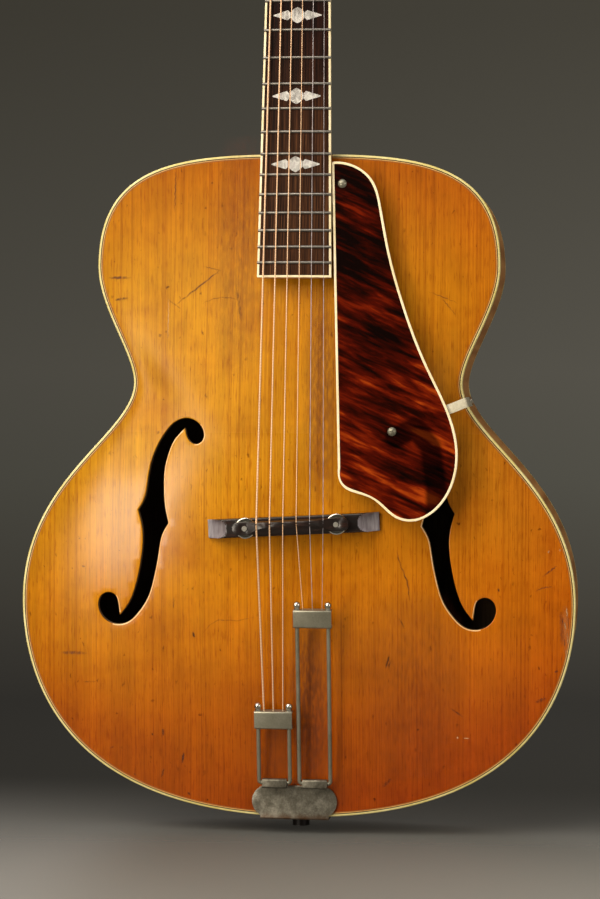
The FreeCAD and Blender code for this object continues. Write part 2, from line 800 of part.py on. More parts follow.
def saddle_blank():
    side, crest = saddle_length * half, saddle_crest_length * half
    shelf = saddle_low + saddle_shelf
    end = string_spread_saddle * half
    crown = crest_height - crown_drop(end)
    rim = Part.Arc(Vector(-end, -crown, 0), Vector(0, -crest_height, 0), Vector(end, -crown, 0)).toShape()
    corners = [(end, crown), (crest, shelf), (side, shelf), (side, saddle_low), (-side, saddle_low),
               (-side, shelf), (-crest, shelf), (-end, crown)]
    outline = Part.makePolygon([Vector(x, -h, 0) for x, h in corners])
    bar = extruded(Part.Wire([rim] + outline.Edges), Vector(0, 0, saddle_thickness))
    bar.translate(Vector(0, 0, -saddle_thickness * half))
    ends = [edge for edge in edges_along(bar, Vector(0, 1, 0)) if abs(edge.CenterOfMass.x) > crest]
    bar = bar.makeFillet(saddle_corner, ends)
    for s in (1, -1):
        wire = polygon([Vector(-side, -shelf, s * saddle_thickness * half),
                        Vector(-side, -crest_height, saddle_crest_shift + s * saddle_ridge_width * half),
                        Vector(-side, -crest_height, s * saddle_thickness),
                        Vector(-side, -shelf, s * saddle_thickness)])
        bar = bar.cut(extruded(wire, Vector(saddle_length, 0, 0)))
    return bar


# Tailpiece. A trapeze's frame: x across, y back, z from its hinge towards the saddle's crest

trapeze_run = saddle_height + saddle_crest_shift - hinge_height
trapeze_rise = math.degrees(math.atan2(crest_height - hinge_lift, trapeze_run))
trapeze_frame = Placement(at(0, hinge_height, hinge_lift), Rotation(Vector(1, 0, 0), trapeze_rise))


def end_pin_shape():
    axis = Vector(0, 0, -1)
    seat = bracket_thickness
    stem = Part.makeCylinder(end_pin_radius, end_pin_length + seat, Vector(0, 0, -seat), Vector(0, 0, 1))
    collar = Part.makeCylinder(end_pin_collar_radius, end_pin_collar, Vector(0, 0, -seat), axis)
    waist_start = seat + end_pin_collar
    neck = Part.makeCone(end_pin_head_radius, end_pin_radius, end_pin_neck, Vector(0, 0, -waist_start), axis)
    head = Part.makeCylinder(end_pin_head_radius, end_pin_head,
                             Vector(0, 0, -waist_start - end_pin_neck), axis)
    return joined([stem, collar, neck, head])


def bracket_plate():
    # Rounded lobes at both ends over the top, narrower where it bends over the tail
    lobe = bracket_length * half
    side = bracket_width * half
    middle = bracket_setback + lobe
    leg = bracket_leg_width * half
    low = bracket_lift

    def spot(x, z):
        return at(x, z, low)
    top = bracket_setback + bracket_length
    wire = Part.Wire([
        Part.makeLine(spot(-leg, bracket_setback), spot(-leg, -bracket_thickness)),
        Part.makeLine(spot(-leg, -bracket_thickness), spot(leg, -bracket_thickness)),
        Part.makeLine(spot(leg, -bracket_thickness), spot(leg, bracket_setback)),
        Part.Arc(spot(leg, bracket_setback), spot(side, middle), spot(side - lobe, top)).toShape(),
        Part.makeLine(spot(side - lobe, top), spot(lobe - side, top)),
        Part.Arc(spot(lobe - side, top), spot(-side, middle), spot(-leg, bracket_setback)).toShape()])
    return extruded(wire, Vector(0, -bracket_thickness, 0))


def make_tailpiece():
    leg = bracket_leg_width * half
    rear = -rim_depth * half
    depth = rear - bracket_lift - bracket_thickness
    skirt = block((-leg, leg), (depth, rear + bracket_leg_depth), (-bracket_thickness, 0))
    bore = trapeze_rod_radius + running_clearance
    knuckles, bars = [], []
    for x in (bass_trapeze_x, treble_trapeze_x):
        first = at(x - knuckle_width * half, hinge_height, hinge_lift)
        last = at(x + knuckle_width * half, hinge_height, hinge_lift)
        bars.append(rod(first, last, bore))
        deep = bore + knuckle_wall
        foot = hinge_height + deep - knuckle_height
        tab = block((first.x, last.x), (first.y - deep, first.y + deep), (foot, hinge_height + deep))
        knuckles.append(tab.makeFillet(knuckle_corner, edges_along(tab, Vector(1, 0, 0))))
        knuckles.append(block((first.x, last.x), (first.y, rear - bracket_lift), (foot, foot + knuckle_wall)))
    pin = end_pin_shape()
    screws = [tail_screw(-tail_screw_spread * half, tail_screw_upper_drop),
              tail_screw(tail_screw_spread * half, tail_screw_upper_drop)]
    bent = joined([bracket_plate(), skirt])
    fold = [edge for edge in edges_along(bent, Vector(1, 0, 0))
            if edge.CenterOfMass.y < rear - bracket_lift and edge.CenterOfMass.z < 0]
    bracket = joined([bent.makeFillet(bracket_bend, fold)] + knuckles)
    pieces["tailpiece_bracket"] = bracket.cut(group(bars)).cut(pin).cut(group(screws))
    pieces["tailpiece_screws"] = group(screws)
    pieces["end_pin"] = pin
    for name in ("bass_rib", "treble_rib", "tail_block"):
        pieces[name] = pieces[name].cut(pin).cut(group(screws))
    make_trapeze("bass", bass_trapeze_x, bass_holder_reach, 0)
    make_trapeze("treble", treble_trapeze_x, treble_holder_reach, len(string_diameters) // 2)


def tail_screw(x, drop):
    seat = Vector(x, -rim_depth * half + drop, -bracket_thickness)
    shank = Part.makeCylinder(tail_screw_radius, tail_screw_length, seat, Vector(0, 0, 1))
    head = Part.makeCylinder(tail_screw_head_radius, tail_screw_head, seat, Vector(0, 0, -1))
    return joined([shank, head])


def after_start(i):
    # Where a string leaves its holder, in the trapeze's frame
    count = len(string_diameters) // 2
    x, reach = (bass_trapeze_x, bass_holder_reach) if i < count else (treble_trapeze_x, treble_holder_reach)
    across = (i % count - (count - 1) * half) * after_string_pitch
    return Vector(x + across, 0, reach + holder_length - holder_wall)


def make_trapeze(name, x, reach, first_string):
    side, bend = trapeze_spread * half, trapeze_bend_radius
    tip = reach + holder_length + trapeze_tip
    nip = bend * (1 - math.sqrt(half))

    def spot(across, along):
        return Vector(x + across, 0, along)
    wire = Part.Wire([Part.makeLine(spot(-side, tip), spot(-side, bend)),
                      Part.Arc(spot(-side, bend), spot(nip - side, nip), spot(bend - side, 0)).toShape(),
                      Part.makeLine(spot(bend - side, 0), spot(side - bend, 0)),
                      Part.Arc(spot(side - bend, 0), spot(side - nip, nip), spot(side, bend)).toShape(),
                      Part.makeLine(spot(side, bend), spot(side, tip))])
    section = Part.Wire(Part.makeCircle(trapeze_rod_radius, spot(-side, tip), Vector(0, 0, 1)))
    frame = wire.makePipe(Part.Face(section))
    wide, deep = holder_width * half, holder_depth * half
    channel = block((x - wide, x + wide), (-deep, deep), (reach, reach + holder_length))
    front = [edge for edge in edges_along(channel, Vector(1, 0, 0)) if edge.CenterOfMass.y < 0]
    channel = channel.makeFillet(holder_corner, front)
    hollow = block((x - wide, x + wide), (holder_wall - deep, deep + overrun),
                   (reach + holder_wall, reach + holder_length - holder_wall))
    nuts, slots, strings = [], [], []
    seat = reach + holder_length
    for s in (-1, 1):
        centre = spot(s * side, seat + trapeze_nut_length - trapeze_nut_radius)
        collar = rod(spot(s * side, seat), centre, trapeze_nut_radius * trapeze_collar_share)
        nuts.append(Part.makeSphere(trapeze_nut_radius, centre).fuse(collar).cut(frame))
    count = len(string_diameters) // 2
    for i in range(count):
        diameter = string_diameters[first_string + i]
        start = after_start(first_string + i)
        crest = trapeze_frame.inverse().multVec(neck_frame.multVec(crest_point(first_string + i)))
        first, last = shortened(start, crest, 0, string_end_gap)
        strings.append(rod(first, last, diameter * half))
        slots.append(rod(first, last, diameter * half + string_seat_gap))
    holder = channel.cut(hollow).cut(frame).cut(group(slots))
    for node, shape in ((name + "_trapeze", frame), (name + "_string_holder", holder),
                        (name + "_trapeze_nuts", group(nuts)), (name + "_after_strings", group(strings))):
        pieces[node] = placed(shape, trapeze_frame)


# Pickguard, in the neck's frame

def guard_wire(level, inset, samples=26):
    # A curve round the free edge and a straight side along the board, moved inwards by the inset
    length = body_length - guard_top_margin - guard_foot_rise - saddle_height
    corners = [Vector(guard_inner_x + across * guard_width, level, guard_foot_rise + up * length)
               for across, up in guard_edge_shares]
    curve = Part.BSplineCurve()
    curve.interpolate(corners)
    if inset:
        straight = inward(corners[0] - corners[-1])
        span = curve.LastParameter - curve.FirstParameter
        moved = []
        for i in range(samples + 1):
            place = curve.FirstParameter + span * i / samples
            normal = inward(curve.tangent(place)[0])
            if i in (0, samples):
                normal = (normal + straight) / (1 + normal.dot(straight))
            moved.append(curve.value(place) + normal * inset)
        corners = moved
        curve.interpolate(corners)
    return Part.Wire([curve.toShape(), Part.makeLine(corners[-1], corners[0])])


def inward(way):
    return Vector(way.z, 0, -way.x).normalize()


def slotted_screw(x, rise, length):
    # Dome head on the guard, shank down into what carries it
    seat = Vector(x, guard_top_drop, rise)
    shank = Part.makeCylinder(guard_screw_radius, length, seat, Vector(0, 1, 0))
    dome_radius = (guard_screw_head_radius ** 2 + guard_screw_head ** 2) / (2 * guard_screw_head)
    ball = Part.makeSphere(dome_radius, seat + Vector(0, dome_radius - guard_screw_head, 0))
    cap = ball.common(Part.makeCylinder(guard_screw_head_radius, guard_screw_head, seat, Vector(0, -1, 0)))
    slot = guard_screw_slot * half
    wide = guard_screw_head_radius
    groove = block((x - wide, x + wide),
                   (guard_top_drop - guard_screw_head * 2, guard_top_drop - guard_screw_head * half),
                   (seat.z - slot, seat.z + slot))
    return joined([shank, cap.cut(groove)])


def make_pickguard():
    low = guard_top_drop + guard_thickness
    whole = extruded(guard_wire(guard_top_drop, 0), Vector(0, guard_thickness, 0))
    core = extruded(guard_wire(guard_top_drop, guard_edge_width), Vector(0, guard_thickness, 0))
    upper_rise = body_length - guard_screw_drop - saddle_height
    seat = Vector(guard_screw_x, low, upper_rise)
    spacer = placed(Part.makeCylinder(guard_spacer_radius, overrun, seat, Vector(0, 1, 0)), neck_frame)
    domed = outline_prism(0, -rim_depth, 0).fuse(arch(top_arch, arch_foot_share, 0))
    upper = placed(slotted_screw(guard_screw_x, upper_rise, guard_thickness + board_thickness),
                   neck_frame)
    lower = placed(slotted_screw(guard_side_screw_x, guard_side_screw_rise,
                                 guard_thickness + side_bracket_thickness), neck_frame)
    screws = group([upper, lower])
    pieces["pickguard_spacer"] = spacer.cut(domed).cut(upper)
    pieces["pickguard"] = placed(core, neck_frame).cut(screws)
    pieces["pickguard_binding"] = placed(whole.cut(core), neck_frame)
    pieces["pickguard_screws"] = screws
    make_side_bracket(low, screws)


def rib_distance():
    # From the side screw along the bracket's direction to the rib's outer face
    angle = math.radians(side_bracket_angle)
    ray = Vector(math.cos(angle), 0, math.sin(angle))
    start = at(guard_side_screw_x, saddle_height + guard_side_screw_rise, 0)
    wire = outline_wire(0, 0)
    across = Vector(-ray.z, 0, ray.x) * (side_bracket_width * half)
    reach = 0
    for offset in (-1, 0, 1):
        line = Part.makeLine(start + across * offset, start + across * offset + ray * lower_bout)
        distance, pairs, info = line.distToShape(wire)
        reach = max(reach, max((pair[0] - start - across * offset).Length for pair in pairs))
    return reach


def make_side_bracket(low, screws):
    # A strip along the guard's sloping underside, out past the edge and down along the rib
    seat = neck_frame.multVec(Vector(guard_side_screw_x, low, guard_side_screw_rise))
    wide, thick = side_bracket_width * half, side_bracket_thickness
    angle = math.radians(side_bracket_angle)
    reach = rib_distance() + side_bracket_rib_gap
    outer = reach + thick
    drop = -(rim_depth * half) - seat.y + side_bracket_leg

    def front(x):
        return board_slope * (x * math.sin(angle) - wide * math.cos(angle))
    profile = [(-wide, front(-wide)), (outer, front(outer)), (outer, drop), (reach, drop),
               (reach, front(reach) + thick), (-wide, front(-wide) + thick)]
    bent = extruded(polygon([Vector(x, y, -wide) for x, y in profile]), Vector(0, 0, side_bracket_width))
    fold = [edge for edge in edges_along(bent, Vector(0, 0, 1))
            if edge.CenterOfMass.x > reach and edge.CenterOfMass.y < front(outer) + thick]
    level = drop - side_bracket_leg + side_bracket_screw_drop
    hole = rod(Vector(reach - overrun, level, 0), Vector(reach + overrun, level, 0), tail_screw_radius)
    frame = Placement(seat, Rotation(Vector(0, 1, 0), -side_bracket_angle))
    turned = Rotation(Vector(1, 0, 0), -board_angle).multiply(frame.Rotation)
    tilt = placed(block((-overrun, lower_bout), (-overrun, 0), (-overrun, overrun)), Placement(seat, turned))
    spot = frame.multVec(Vector(outer, level, 0))
    outward = frame.Rotation.multVec(Vector(1, 0, 0))
    shank = Part.makeCylinder(tail_screw_radius, tail_screw_length * half, spot, outward * -1)
    head = Part.makeCylinder(tail_screw_head_radius, tail_screw_head, spot, outward)
    screw = joined([shank, head])
    bracket = placed(bent.makeFillet(side_bracket_bend, fold).cut(hole), frame)
    pieces["pickguard_bracket"] = bracket.cut(tilt).cut(screws)
    pieces["pickguard_bracket_screw"] = screw
    for name in ("treble_rib", "top_lining"):
        pieces[name] = pieces[name].cut(screw)


# Tuners, in a frame at the post's axis on the headstock's back: x outwards, y back, z to the crown

gear_radius = gear_teeth * worm_pitch / (2 * math.pi)
worm_offset = gear_radius + worm_pitch_radius + mesh_clearance
worm_level = tuner_plate_thickness + worm_plate_gap + worm_pitch_radius + tooth_height * half
worm_length = worm_turns * worm_pitch + 2 * worm_end_gap
button_start = tuner_edge_distance + button_gap


def gear():
    # Straight-flanked teeth, slanted to the worm's lead, with a gap facing the worm
    outer, root = gear_radius + tooth_height * half, gear_radius - tooth_height * half
    lead = worm_pitch / (2 * math.pi * worm_pitch_radius)
    twist = lead * gear_face / gear_radius * half
    step = 2 * math.pi / gear_teeth
    sections = []
    for turn, level in ((-twist, worm_level - gear_face * half), (twist, worm_level + gear_face * half)):
        points = []
        for i in range(gear_teeth):
            middle = math.pi + turn + (i + half) * step
            for share, radius in ((-tooth_root_share, root), (-tooth_tip_share, outer),
                                  (tooth_tip_share, outer), (tooth_root_share, root)):
                angle = middle + share * half * step
                points.append(Vector(radius * math.sin(angle), level, radius * math.cos(angle)))
        sections.append(polygon(points))
    return Part.makeLoft(sections, True, True)


def worm():
    # One helical thread on its core, with a ridge at mid-length facing the gear
    length = worm_turns * worm_pitch
    tip = worm_pitch_radius + tooth_height * half - mesh_clearance
    base, crest = worm_pitch * tooth_root_share * half, worm_pitch * tooth_tip_share * half
    inner = worm_root_radius * worm_thread_share
    helix = Part.makeHelix(worm_pitch, length, worm_root_radius)
    profile = polygon([Vector(inner, 0, -base), Vector(tip, 0, -crest), Vector(tip, 0, crest),
                       Vector(inner, 0, base)])
    thread = Part.Wire(helix.Edges).makePipeShell([profile], True, True)
    core = Part.makeCylinder(worm_root_radius, length + 2 * worm_end_gap, Vector(0, 0, -worm_end_gap))
    keep = Part.makeCylinder(tip + worm_pitch, length, Vector(0, 0, 0))
    shape = core.fuse(thread.common(keep))
    shape.translate(Vector(0, 0, -length * half))
    turn = Rotation(Vector(0, 0, 1), Vector(0, -1, 0), Vector(1, 0, 0), "ZXY")
    return placed(shape, Placement(Vector(0, worm_level, -worm_offset), turn))


def tuner_button():
    half_worm = worm_length * half
    shaft_start = -(half_worm + worm_end_gap + ear_thickness + worm_end_gap)
    centre = button_start + button_collar + button_length * half
    axis = Vector(1, 0, 0)
    shaft = Part.makeCylinder(worm_shaft_radius, centre - shaft_start,
                              Vector(shaft_start, worm_level, -worm_offset), axis)
    collar = Part.makeCylinder(button_collar_radius, button_collar + button_length * half,
                               Vector(button_start, worm_level, -worm_offset), axis)
    oval = Part.makeSphere(1)
    stretch = Matrix()
    stretch.scale(Vector(button_length, button_thickness, button_width) * half)
    oval = oval.transformGeometry(stretch)
    oval.translate(Vector(centre, worm_level, -worm_offset))
    return joined([worm().fuse(shaft), collar, oval])


def tuner_post():
    front = -(head_thickness + veneer_thickness + tuner_post_proud)
    end = worm_level + gear_face * half + worm_plate_gap
    stem = rod(Vector(0, front, 0), Vector(0, end, 0), tuner_post_radius)
    wrap = -(head_thickness + veneer_thickness + tuner_wrap_lift)
    eye = rod(Vector(0, wrap - tuner_post_radius, -overrun), Vector(0, wrap - tuner_post_radius, overrun),
              tuner_post_hole_radius)
    groove = Part.makeTorus(tuner_post_radius + tuner_post_waist, 2 * tuner_post_waist, Vector(0, wrap, 0),
                            Vector(0, 1, 0))
    return joined([stem, gear()]).cut(eye).cut(groove)


def tuner_plate():
    wide, low = tuner_plate_width * half, -tuner_plate_tail
    high = low + tuner_plate_length
    plate = block((-wide, wide), (0, tuner_plate_thickness), (low, high))
    plate = plate.makeFillet(tuner_plate_corner, edges_along(plate, Vector(0, 1, 0)))
    start = worm_length * half + worm_end_gap
    top = worm_level + worm_shaft_radius + ear_thickness
    ears = []
    for s in (1, -1):
        low_x, high_x = sorted((s * start, s * (start + ear_thickness)))
        ears.append(block((low_x, high_x), (0, top),
                          (-worm_offset - ear_width * half, -worm_offset + ear_width * half)))
    shaft = rod(Vector(-overrun, worm_level, -worm_offset), Vector(overrun, worm_level, -worm_offset),
                worm_shaft_radius + running_clearance)
    post = rod(Vector(0, -overrun, 0), Vector(0, overrun, 0), tuner_post_radius + running_clearance)
    return joined([plate] + ears).cut(shaft).cut(post).cut(group(tuner_plate_screws()))


def tuner_plate_screws():
    screws = []
    for end in (-tuner_plate_tail, tuner_plate_length - tuner_plate_tail):
        for s in (1, -1):
            x = s * (tuner_plate_width * half - tuner_plate_corner)
            z = end - math.copysign(tuner_plate_corner, end)
            seat = Vector(x, tuner_plate_thickness, z)
            shank = Part.makeCylinder(tuner_screw_radius, tuner_screw_length, seat, Vector(0, -1, 0))
            head = Part.makeCylinder(tuner_screw_head_radius, tuner_screw_head, seat, Vector(0, 1, 0))
            screws.append(joined([shank, head]))
    return screws


def tuner_bushing():
    front = -(head_thickness + veneer_thickness)
    sleeve = rod(Vector(0, front, 0), Vector(0, 0, 0), tuner_bushing_radius)
    flange = rod(Vector(0, front - tuner_bushing_height, 0), Vector(0, front, 0), tuner_bushing_flange)
    bore = rod(Vector(0, front - overrun, 0), Vector(0, overrun, 0), tuner_post_radius + running_clearance)
    return joined([sleeve, flange]).cut(bore)


def make_tuners():
    post, button, plate, bushing = tuner_post(), tuner_button(), tuner_plate(), tuner_bushing()
    screws = tuner_plate_screws()
    plates, bushings, fasteners = [], [], []
    for i, (x, z) in enumerate(tuner_places()):
        frame = head_frame.multiply(Placement(Vector(x, head_thickness, z), Rotation()))

        def seated(shape):
            return placed(mirrored(shape) if x < 0 else shape, frame)
        pieces["tuner_post_%d" % (i + 1)] = seated(post)
        pieces["tuner_button_%d" % (i + 1)] = seated(button)
        plates.append(seated(plate))
        bushings.append(seated(bushing))
        fasteners.extend(seated(screw) for screw in screws)
    pieces["tuner_plates"] = group(plates)
    pieces["tuner_bushings"] = group(bushings)
    pieces["tuner_screws"] = group(fasteners)
    pieces["neck"] = pieces["neck"].cut(pieces["tuner_screws"])


def main():
    make_neck()
    make_fingerboard()
    make_soundbox()
    make_strings()
    make_bridge()
    make_tailpiece()
    make_pickguard()
    make_tuners()
    os.makedirs("parts", exist_ok=True)
    lift = Vector(0, 0, bracket_thickness + end_pin_collar + end_pin_neck + end_pin_head * half)
    for name, shape in pieces.items():
        shape.translate(lift)
        shape.exportStep("parts/%s.step" % name)
        print(name, "solids", len(shape.Solids), "valid", shape.isValid(), "volume", round(shape.Volume))


main()
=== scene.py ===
import json
import math
from functools import partial

import bmesh
import bpy
import numpy as np
from mathutils import Matrix, Vector, geometry


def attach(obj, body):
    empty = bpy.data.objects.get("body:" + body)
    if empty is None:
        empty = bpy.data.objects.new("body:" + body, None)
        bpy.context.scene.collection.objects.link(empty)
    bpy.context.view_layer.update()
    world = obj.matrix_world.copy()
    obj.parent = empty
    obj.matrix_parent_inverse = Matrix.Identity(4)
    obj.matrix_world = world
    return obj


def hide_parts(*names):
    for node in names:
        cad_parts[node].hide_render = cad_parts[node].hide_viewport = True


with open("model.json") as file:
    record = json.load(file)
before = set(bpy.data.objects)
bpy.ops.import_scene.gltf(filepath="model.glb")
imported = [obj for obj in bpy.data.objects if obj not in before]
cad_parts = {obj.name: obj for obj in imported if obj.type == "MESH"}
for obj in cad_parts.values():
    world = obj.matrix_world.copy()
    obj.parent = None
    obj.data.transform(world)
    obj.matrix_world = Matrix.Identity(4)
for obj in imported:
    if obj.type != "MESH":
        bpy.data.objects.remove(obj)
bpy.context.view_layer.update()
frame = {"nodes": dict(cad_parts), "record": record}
nodes, record = frame["nodes"], frame["record"]
nodeBodies = {node: body for body, members in record["behaviour"]["bodies"].items() for node in members}
mm = 0.001
print("frame loaded:", len(nodes), "nodes")


# sRGB hex to linear colour
def paint(code):
    shares = [int(code[i:i + 2], 16) / 255 for i in (1, 3, 5)]
    return [s / 12.92 if s <= 0.04045 else ((s + 0.055) / 1.055) ** 2.4 for s in shares] + [1]


# Fills sockets, named or in their order, with values or with nodes; a node stands for its first output in use
def feed(tree, node, inputs):
    for name, value in inputs.items() if isinstance(inputs, dict) else enumerate(inputs):
        if isinstance(value, bpy.types.Node):
            value = next(socket for socket in value.outputs if socket.enabled)
        if isinstance(value, bpy.types.NodeSocket):
            tree.links.new(value, node.inputs[name])
        else:
            node.inputs[name].default_value = value


# One node with its inputs and settings; stops are places and colours of a ramp
def addNode(tree, kind, inputs=(), stops=(), **settings):
    node = tree.nodes.new("ShaderNode" + kind)
    for name, value in settings.items():
        setattr(node, name, value)
    feed(tree, node, inputs)
    for i, (place, code) in enumerate(stops):
        if i >= len(node.color_ramp.elements):
            node.color_ramp.elements.new(place)
        node.color_ramp.elements[i].position = place
        node.color_ramp.elements[i].color = paint(code)
    return node


# A material, what adds nodes to it, its Object coordinates in metres and those split into x, y and z
def startMaterial(name):
    material = bpy.data.materials.new(name)
    material.use_nodes = True
    add = partial(addNode, material.node_tree)
    coords = add("TexCoord").outputs["Object"]
    return material, add, coords, add("SeparateXYZ", [coords]).outputs


# Fills the sockets of a material's shader
def feedShader(material, inputs):
    feed(material.node_tree, material.node_tree.nodes["Principled BSDF"], inputs)
    return material


# Noise stretched along the axes: rates are per metre along x, y and z, or one for all three
def stretchedNoise(add, place, rates, **inputs):
    stretched = add("Mapping", {"Vector": place, "Scale": np.broadcast_to(rates, 3).tolist()})
    return add("TexNoise", {"Vector": stretched, "Scale": 1, **inputs})


# What several finishes share: settings of nodes, where most values of a noise lie, and the depth of a bump
colour = {"data_type": "RGBA"}
multiply = {"data_type": "RGBA", "blend_type": "MULTIPLY"}
smooth = {"interpolation_type": "SMOOTHSTEP"}
noiseSpan = (0.3, 0.7)
bumpDepth = 0.1 * mm

# Spruce under old amber lacquer: amber in the middle and redder to the ends and the edge, with uneven grain
# lines and dashes, clouds of darker lacquer and small dings; the soft gloss is a clear coat. Towards the tail
# it is darker, partly a redder finish and partly painted shade, and the treble side is painted darker as
# shade
spruceLook = {
    "tailToNeck": (0.01, 0.53), "levels": (0, 0.14, 0.34, 0.56, 0.78, 1),
    # painted shade, partly real tone: the colour darkens towards the tail, partly the finish's redder tone
    # and partly shade where the lower bout turns down from the light
    "depth": ("#964805", "#a45605", "#c3800e", "#c6901a", "#c48c11", "#b46f0d"),
    # painted shade: the treble side is tinted darker and pinker, where less light falls
    "bassToTreble": (-0.2, 0.2), "sides": ((0, "#ffffe1"), (1, "#f5cfed")),
    # the grain sways: rates per metre and how far
    "swayRates": (17, 17, 2.2), "sway": 5 * mm,
    # fine tones multiplied into the colour: rates per metre, then least and greatest
    "tones": (((60, 10, 1.3), 0.9, 1.08), ((1100, 10, 9), 0.84, 1.13), ((34, 10, 26), 0.86, 1.11)),
    # lines along the grain: rates per metre, where they begin in the noise, strength
    "grain": (((560, 1, 1.4), 0.5, 0.34), ((900, 1, 75), 0.55, 0.5)),
    "grainBlur": 0.15, "latewood": "#b98a66",
    # darker and redder lacquer in clouds and along the edge: where it begins and ends, then least and most
    "cloudRate": 17, "clouds": (0.48, 0.72, 0, 0.4), "edge": (0.8, 1, 0, 0.3), "stain": "#c99a70",
    # dings: cell width and height, radius as a share of the cell, share of cells left bare, strength
    "dings": ((11 * mm, 25 * mm, 0.1, 0.4, 0.7), (33 * mm, 36 * mm, 0.05, 0.2, 0.9),
              (6 * mm, 11 * mm, 0.1, 0.5, 0.45)),
    "leastDing": 0.25, "ding": "#6a3a22", "wanderRate": 240, "wander": 5 * mm,
    # above the waist the coat is thinner and duller: weight, roughness and the levels of the change
    "coat": (0.5, 0.28), "coatGloss": (0.18, 0.32), "duller": (0.26, 0.345),
    "relief": 0.12, "shader": {"Roughness": 0.55, "Specular IOR Level": 0},
}


def makeSpruce(name, look):
    material, add, coords, axis = startMaterial(name)
    # painted shade, partly real tone: darker and redder towards the tail
    rise = add("MapRange", (axis["Z"], *look["tailToNeck"]))
    base = add("ValToRGB", [rise], zip(look["levels"], look["depth"]))
    # painted shade: the treble side made darker across x
    aside = add("MapRange", (axis["X"], *look["bassToTreble"]))
    side = add("ValToRGB", [aside], look["sides"])
    baseWithPaintedShade = add("Mix", {0: 1, 6: base, 7: side}, **multiply)
    swayNoise = stretchedNoise(add, coords, look["swayRates"], Detail=2)
    sway = add("Math", (swayNoise, look["sway"], axis["X"]), operation="MULTIPLY_ADD")
    grainPlace = add("CombineXYZ", (sway, 0, axis["Z"]))
    tone = 1
    for rates, least, greatest in look["tones"]:
        noise = stretchedNoise(add, grainPlace, rates, Detail=4, Roughness=0.6)
        share = add("MapRange", (noise, *noiseSpan, least, greatest))
        tone = add("Math", (tone, share), operation="MULTIPLY")
    grained = add("Mix", {0: 1, 6: baseWithPaintedShade, 7: tone}, **multiply)
    for rates, begin, strength in look["grain"]:
        lines = stretchedNoise(add, grainPlace, rates, Detail=2)
        share = add("MapRange", (lines, begin, begin + look["grainBlur"], 0, strength))
        grained = add("Mix", {0: share, 6: grained, 7: paint(look["latewood"])}, **multiply)
    clouds = add("TexNoise", {"Vector": coords, "Scale": look["cloudRate"], "Detail": 6, "Roughness": 0.66})
    cloudShare = add("MapRange", (clouds, *look["clouds"]))
    edge = add("Attribute", attribute_name="edgeShare").outputs["Fac"]
    edgeShare = add("MapRange", (edge, *look["edge"]), **smooth)
    stain = add("Math", (cloudShare, edgeShare), operation="ADD")
    marked = add("Mix", {0: stain, 6: grained, 7: paint(look["stain"])}, **multiply)
    # a wandering place for dings, so that none is round
    rough = add("TexNoise", {"Vector": coords, "Scale": look["wanderRate"], "Detail": 2}).outputs["Color"]
    wander = add("VectorMath", (rough, [look["wander"]] * 3, coords), operation="MULTIPLY_ADD")
    spread = add("SeparateXYZ", [wander]).outputs
    plan = add("CombineXYZ", (spread["X"], spread["Z"], 0))
    for wide, tall, radius, bare, strength in look["dings"]:
        place = add("Mapping", {"Vector": plan, "Scale": (1 / wide, 1 / tall, 1)})
        cells = add("TexVoronoi", {"Vector": place, "Scale": 1}, voronoi_dimensions="2D")
        chance = add("SeparateXYZ", [cells.outputs["Color"]]).outputs
        reach = add("Math", (chance["Y"], radius, look["leastDing"] * radius), operation="MULTIPLY_ADD")
        spot = add("MapRange", (cells, 0, reach, 1, 0), **smooth)
        keep = add("MapRange", (chance["X"], bare, 1, 0, strength))
        share = add("Math", (spot, keep), operation="MULTIPLY")
        marked = add("Mix", {0: share, 6: marked, 7: paint(look["ding"])}, **multiply)
    bump = add("Bump", {"Strength": look["relief"], "Distance": bumpDepth / 2, "Height": lines})
    for socket, span in (("Coat Weight", look["coat"]), ("Coat Roughness", look["coatGloss"])):
        feedShader(material, {socket: sum(span) / 2})  # the socket's own value is the mean of the span
        feedShader(material, {socket: add("MapRange", (axis["Z"], *look["duller"], *span), **smooth)})
    return feedShader(material, {"Base Color": marked, "Normal": bump, **look["shader"]})


# Worn lacquer and painted shadows: a ribbon that fades out to both sides, in a dark, a red or a pale tone
wearAndShadeLook = {
    "tones": ((0, "#2a1004"), (0.5, "#6b2c06"), (1, "#d9ad74")),
    "breaks": (520, 520, 130), "broken": (0.35, 0.6, 0.35, 1), "shader": {"Roughness": 0.6},
}


def makeWearAndShade(name, look):
    material, add, coords, _ = startMaterial(name)
    across, strength, pale = (add("Attribute", attribute_name=label).outputs["Fac"]
                              for label in ("across", "strength", "pale"))
    square = add("Math", (across, across), operation="MULTIPLY")
    middle = add("Math", (1, square), operation="SUBTRACT")
    noise = stretchedNoise(add, coords, look["breaks"], Detail=2)
    broken = add("MapRange", (noise, *look["broken"]))
    share = add("Math", (middle, broken), operation="MULTIPLY")
    cover = add("Math", (share, strength), operation="MULTIPLY")
    tone = add("ValToRGB", [pale], look["tones"])
    return feedShader(material, {"Alpha": cover, "Base Color": tone, **look["shader"]})


# Figured maple under amber lacquer: soft flame stripes across the grain, fine fibre lines along it and a seam
# in the middle
mapleLook = {
    "flamePitch": 11 * mm, "fibrePitch": 1.1 * mm, "fibreShare": 0.3, "slant": 0.2,
    "stops": ((0.32, "#8a5622"), (0.47, "#b1783c"), (0.6, "#ca9252"), (0.76, "#ddad6a")),
    "seam": (0.1 * mm, 0.5 * mm, 0.55, 1),
    "shader": {"Roughness": 0.55, "Specular IOR Level": 0.1, "Coat Weight": 0.2, "Coat Roughness": 0.25},
    # how fast the flame and the fibre change along x, y and z
    "back": ((0.16, 0.1, 1.0), (1.0, 0.3, 0.02)),
    "ribs": ((0.8, 0.02, 0.8), (0.05, 1.0, 0.05)),
    "neck": ((0.12, 0.2, 1.0), (1.0, 1.0, 0.02)),
}


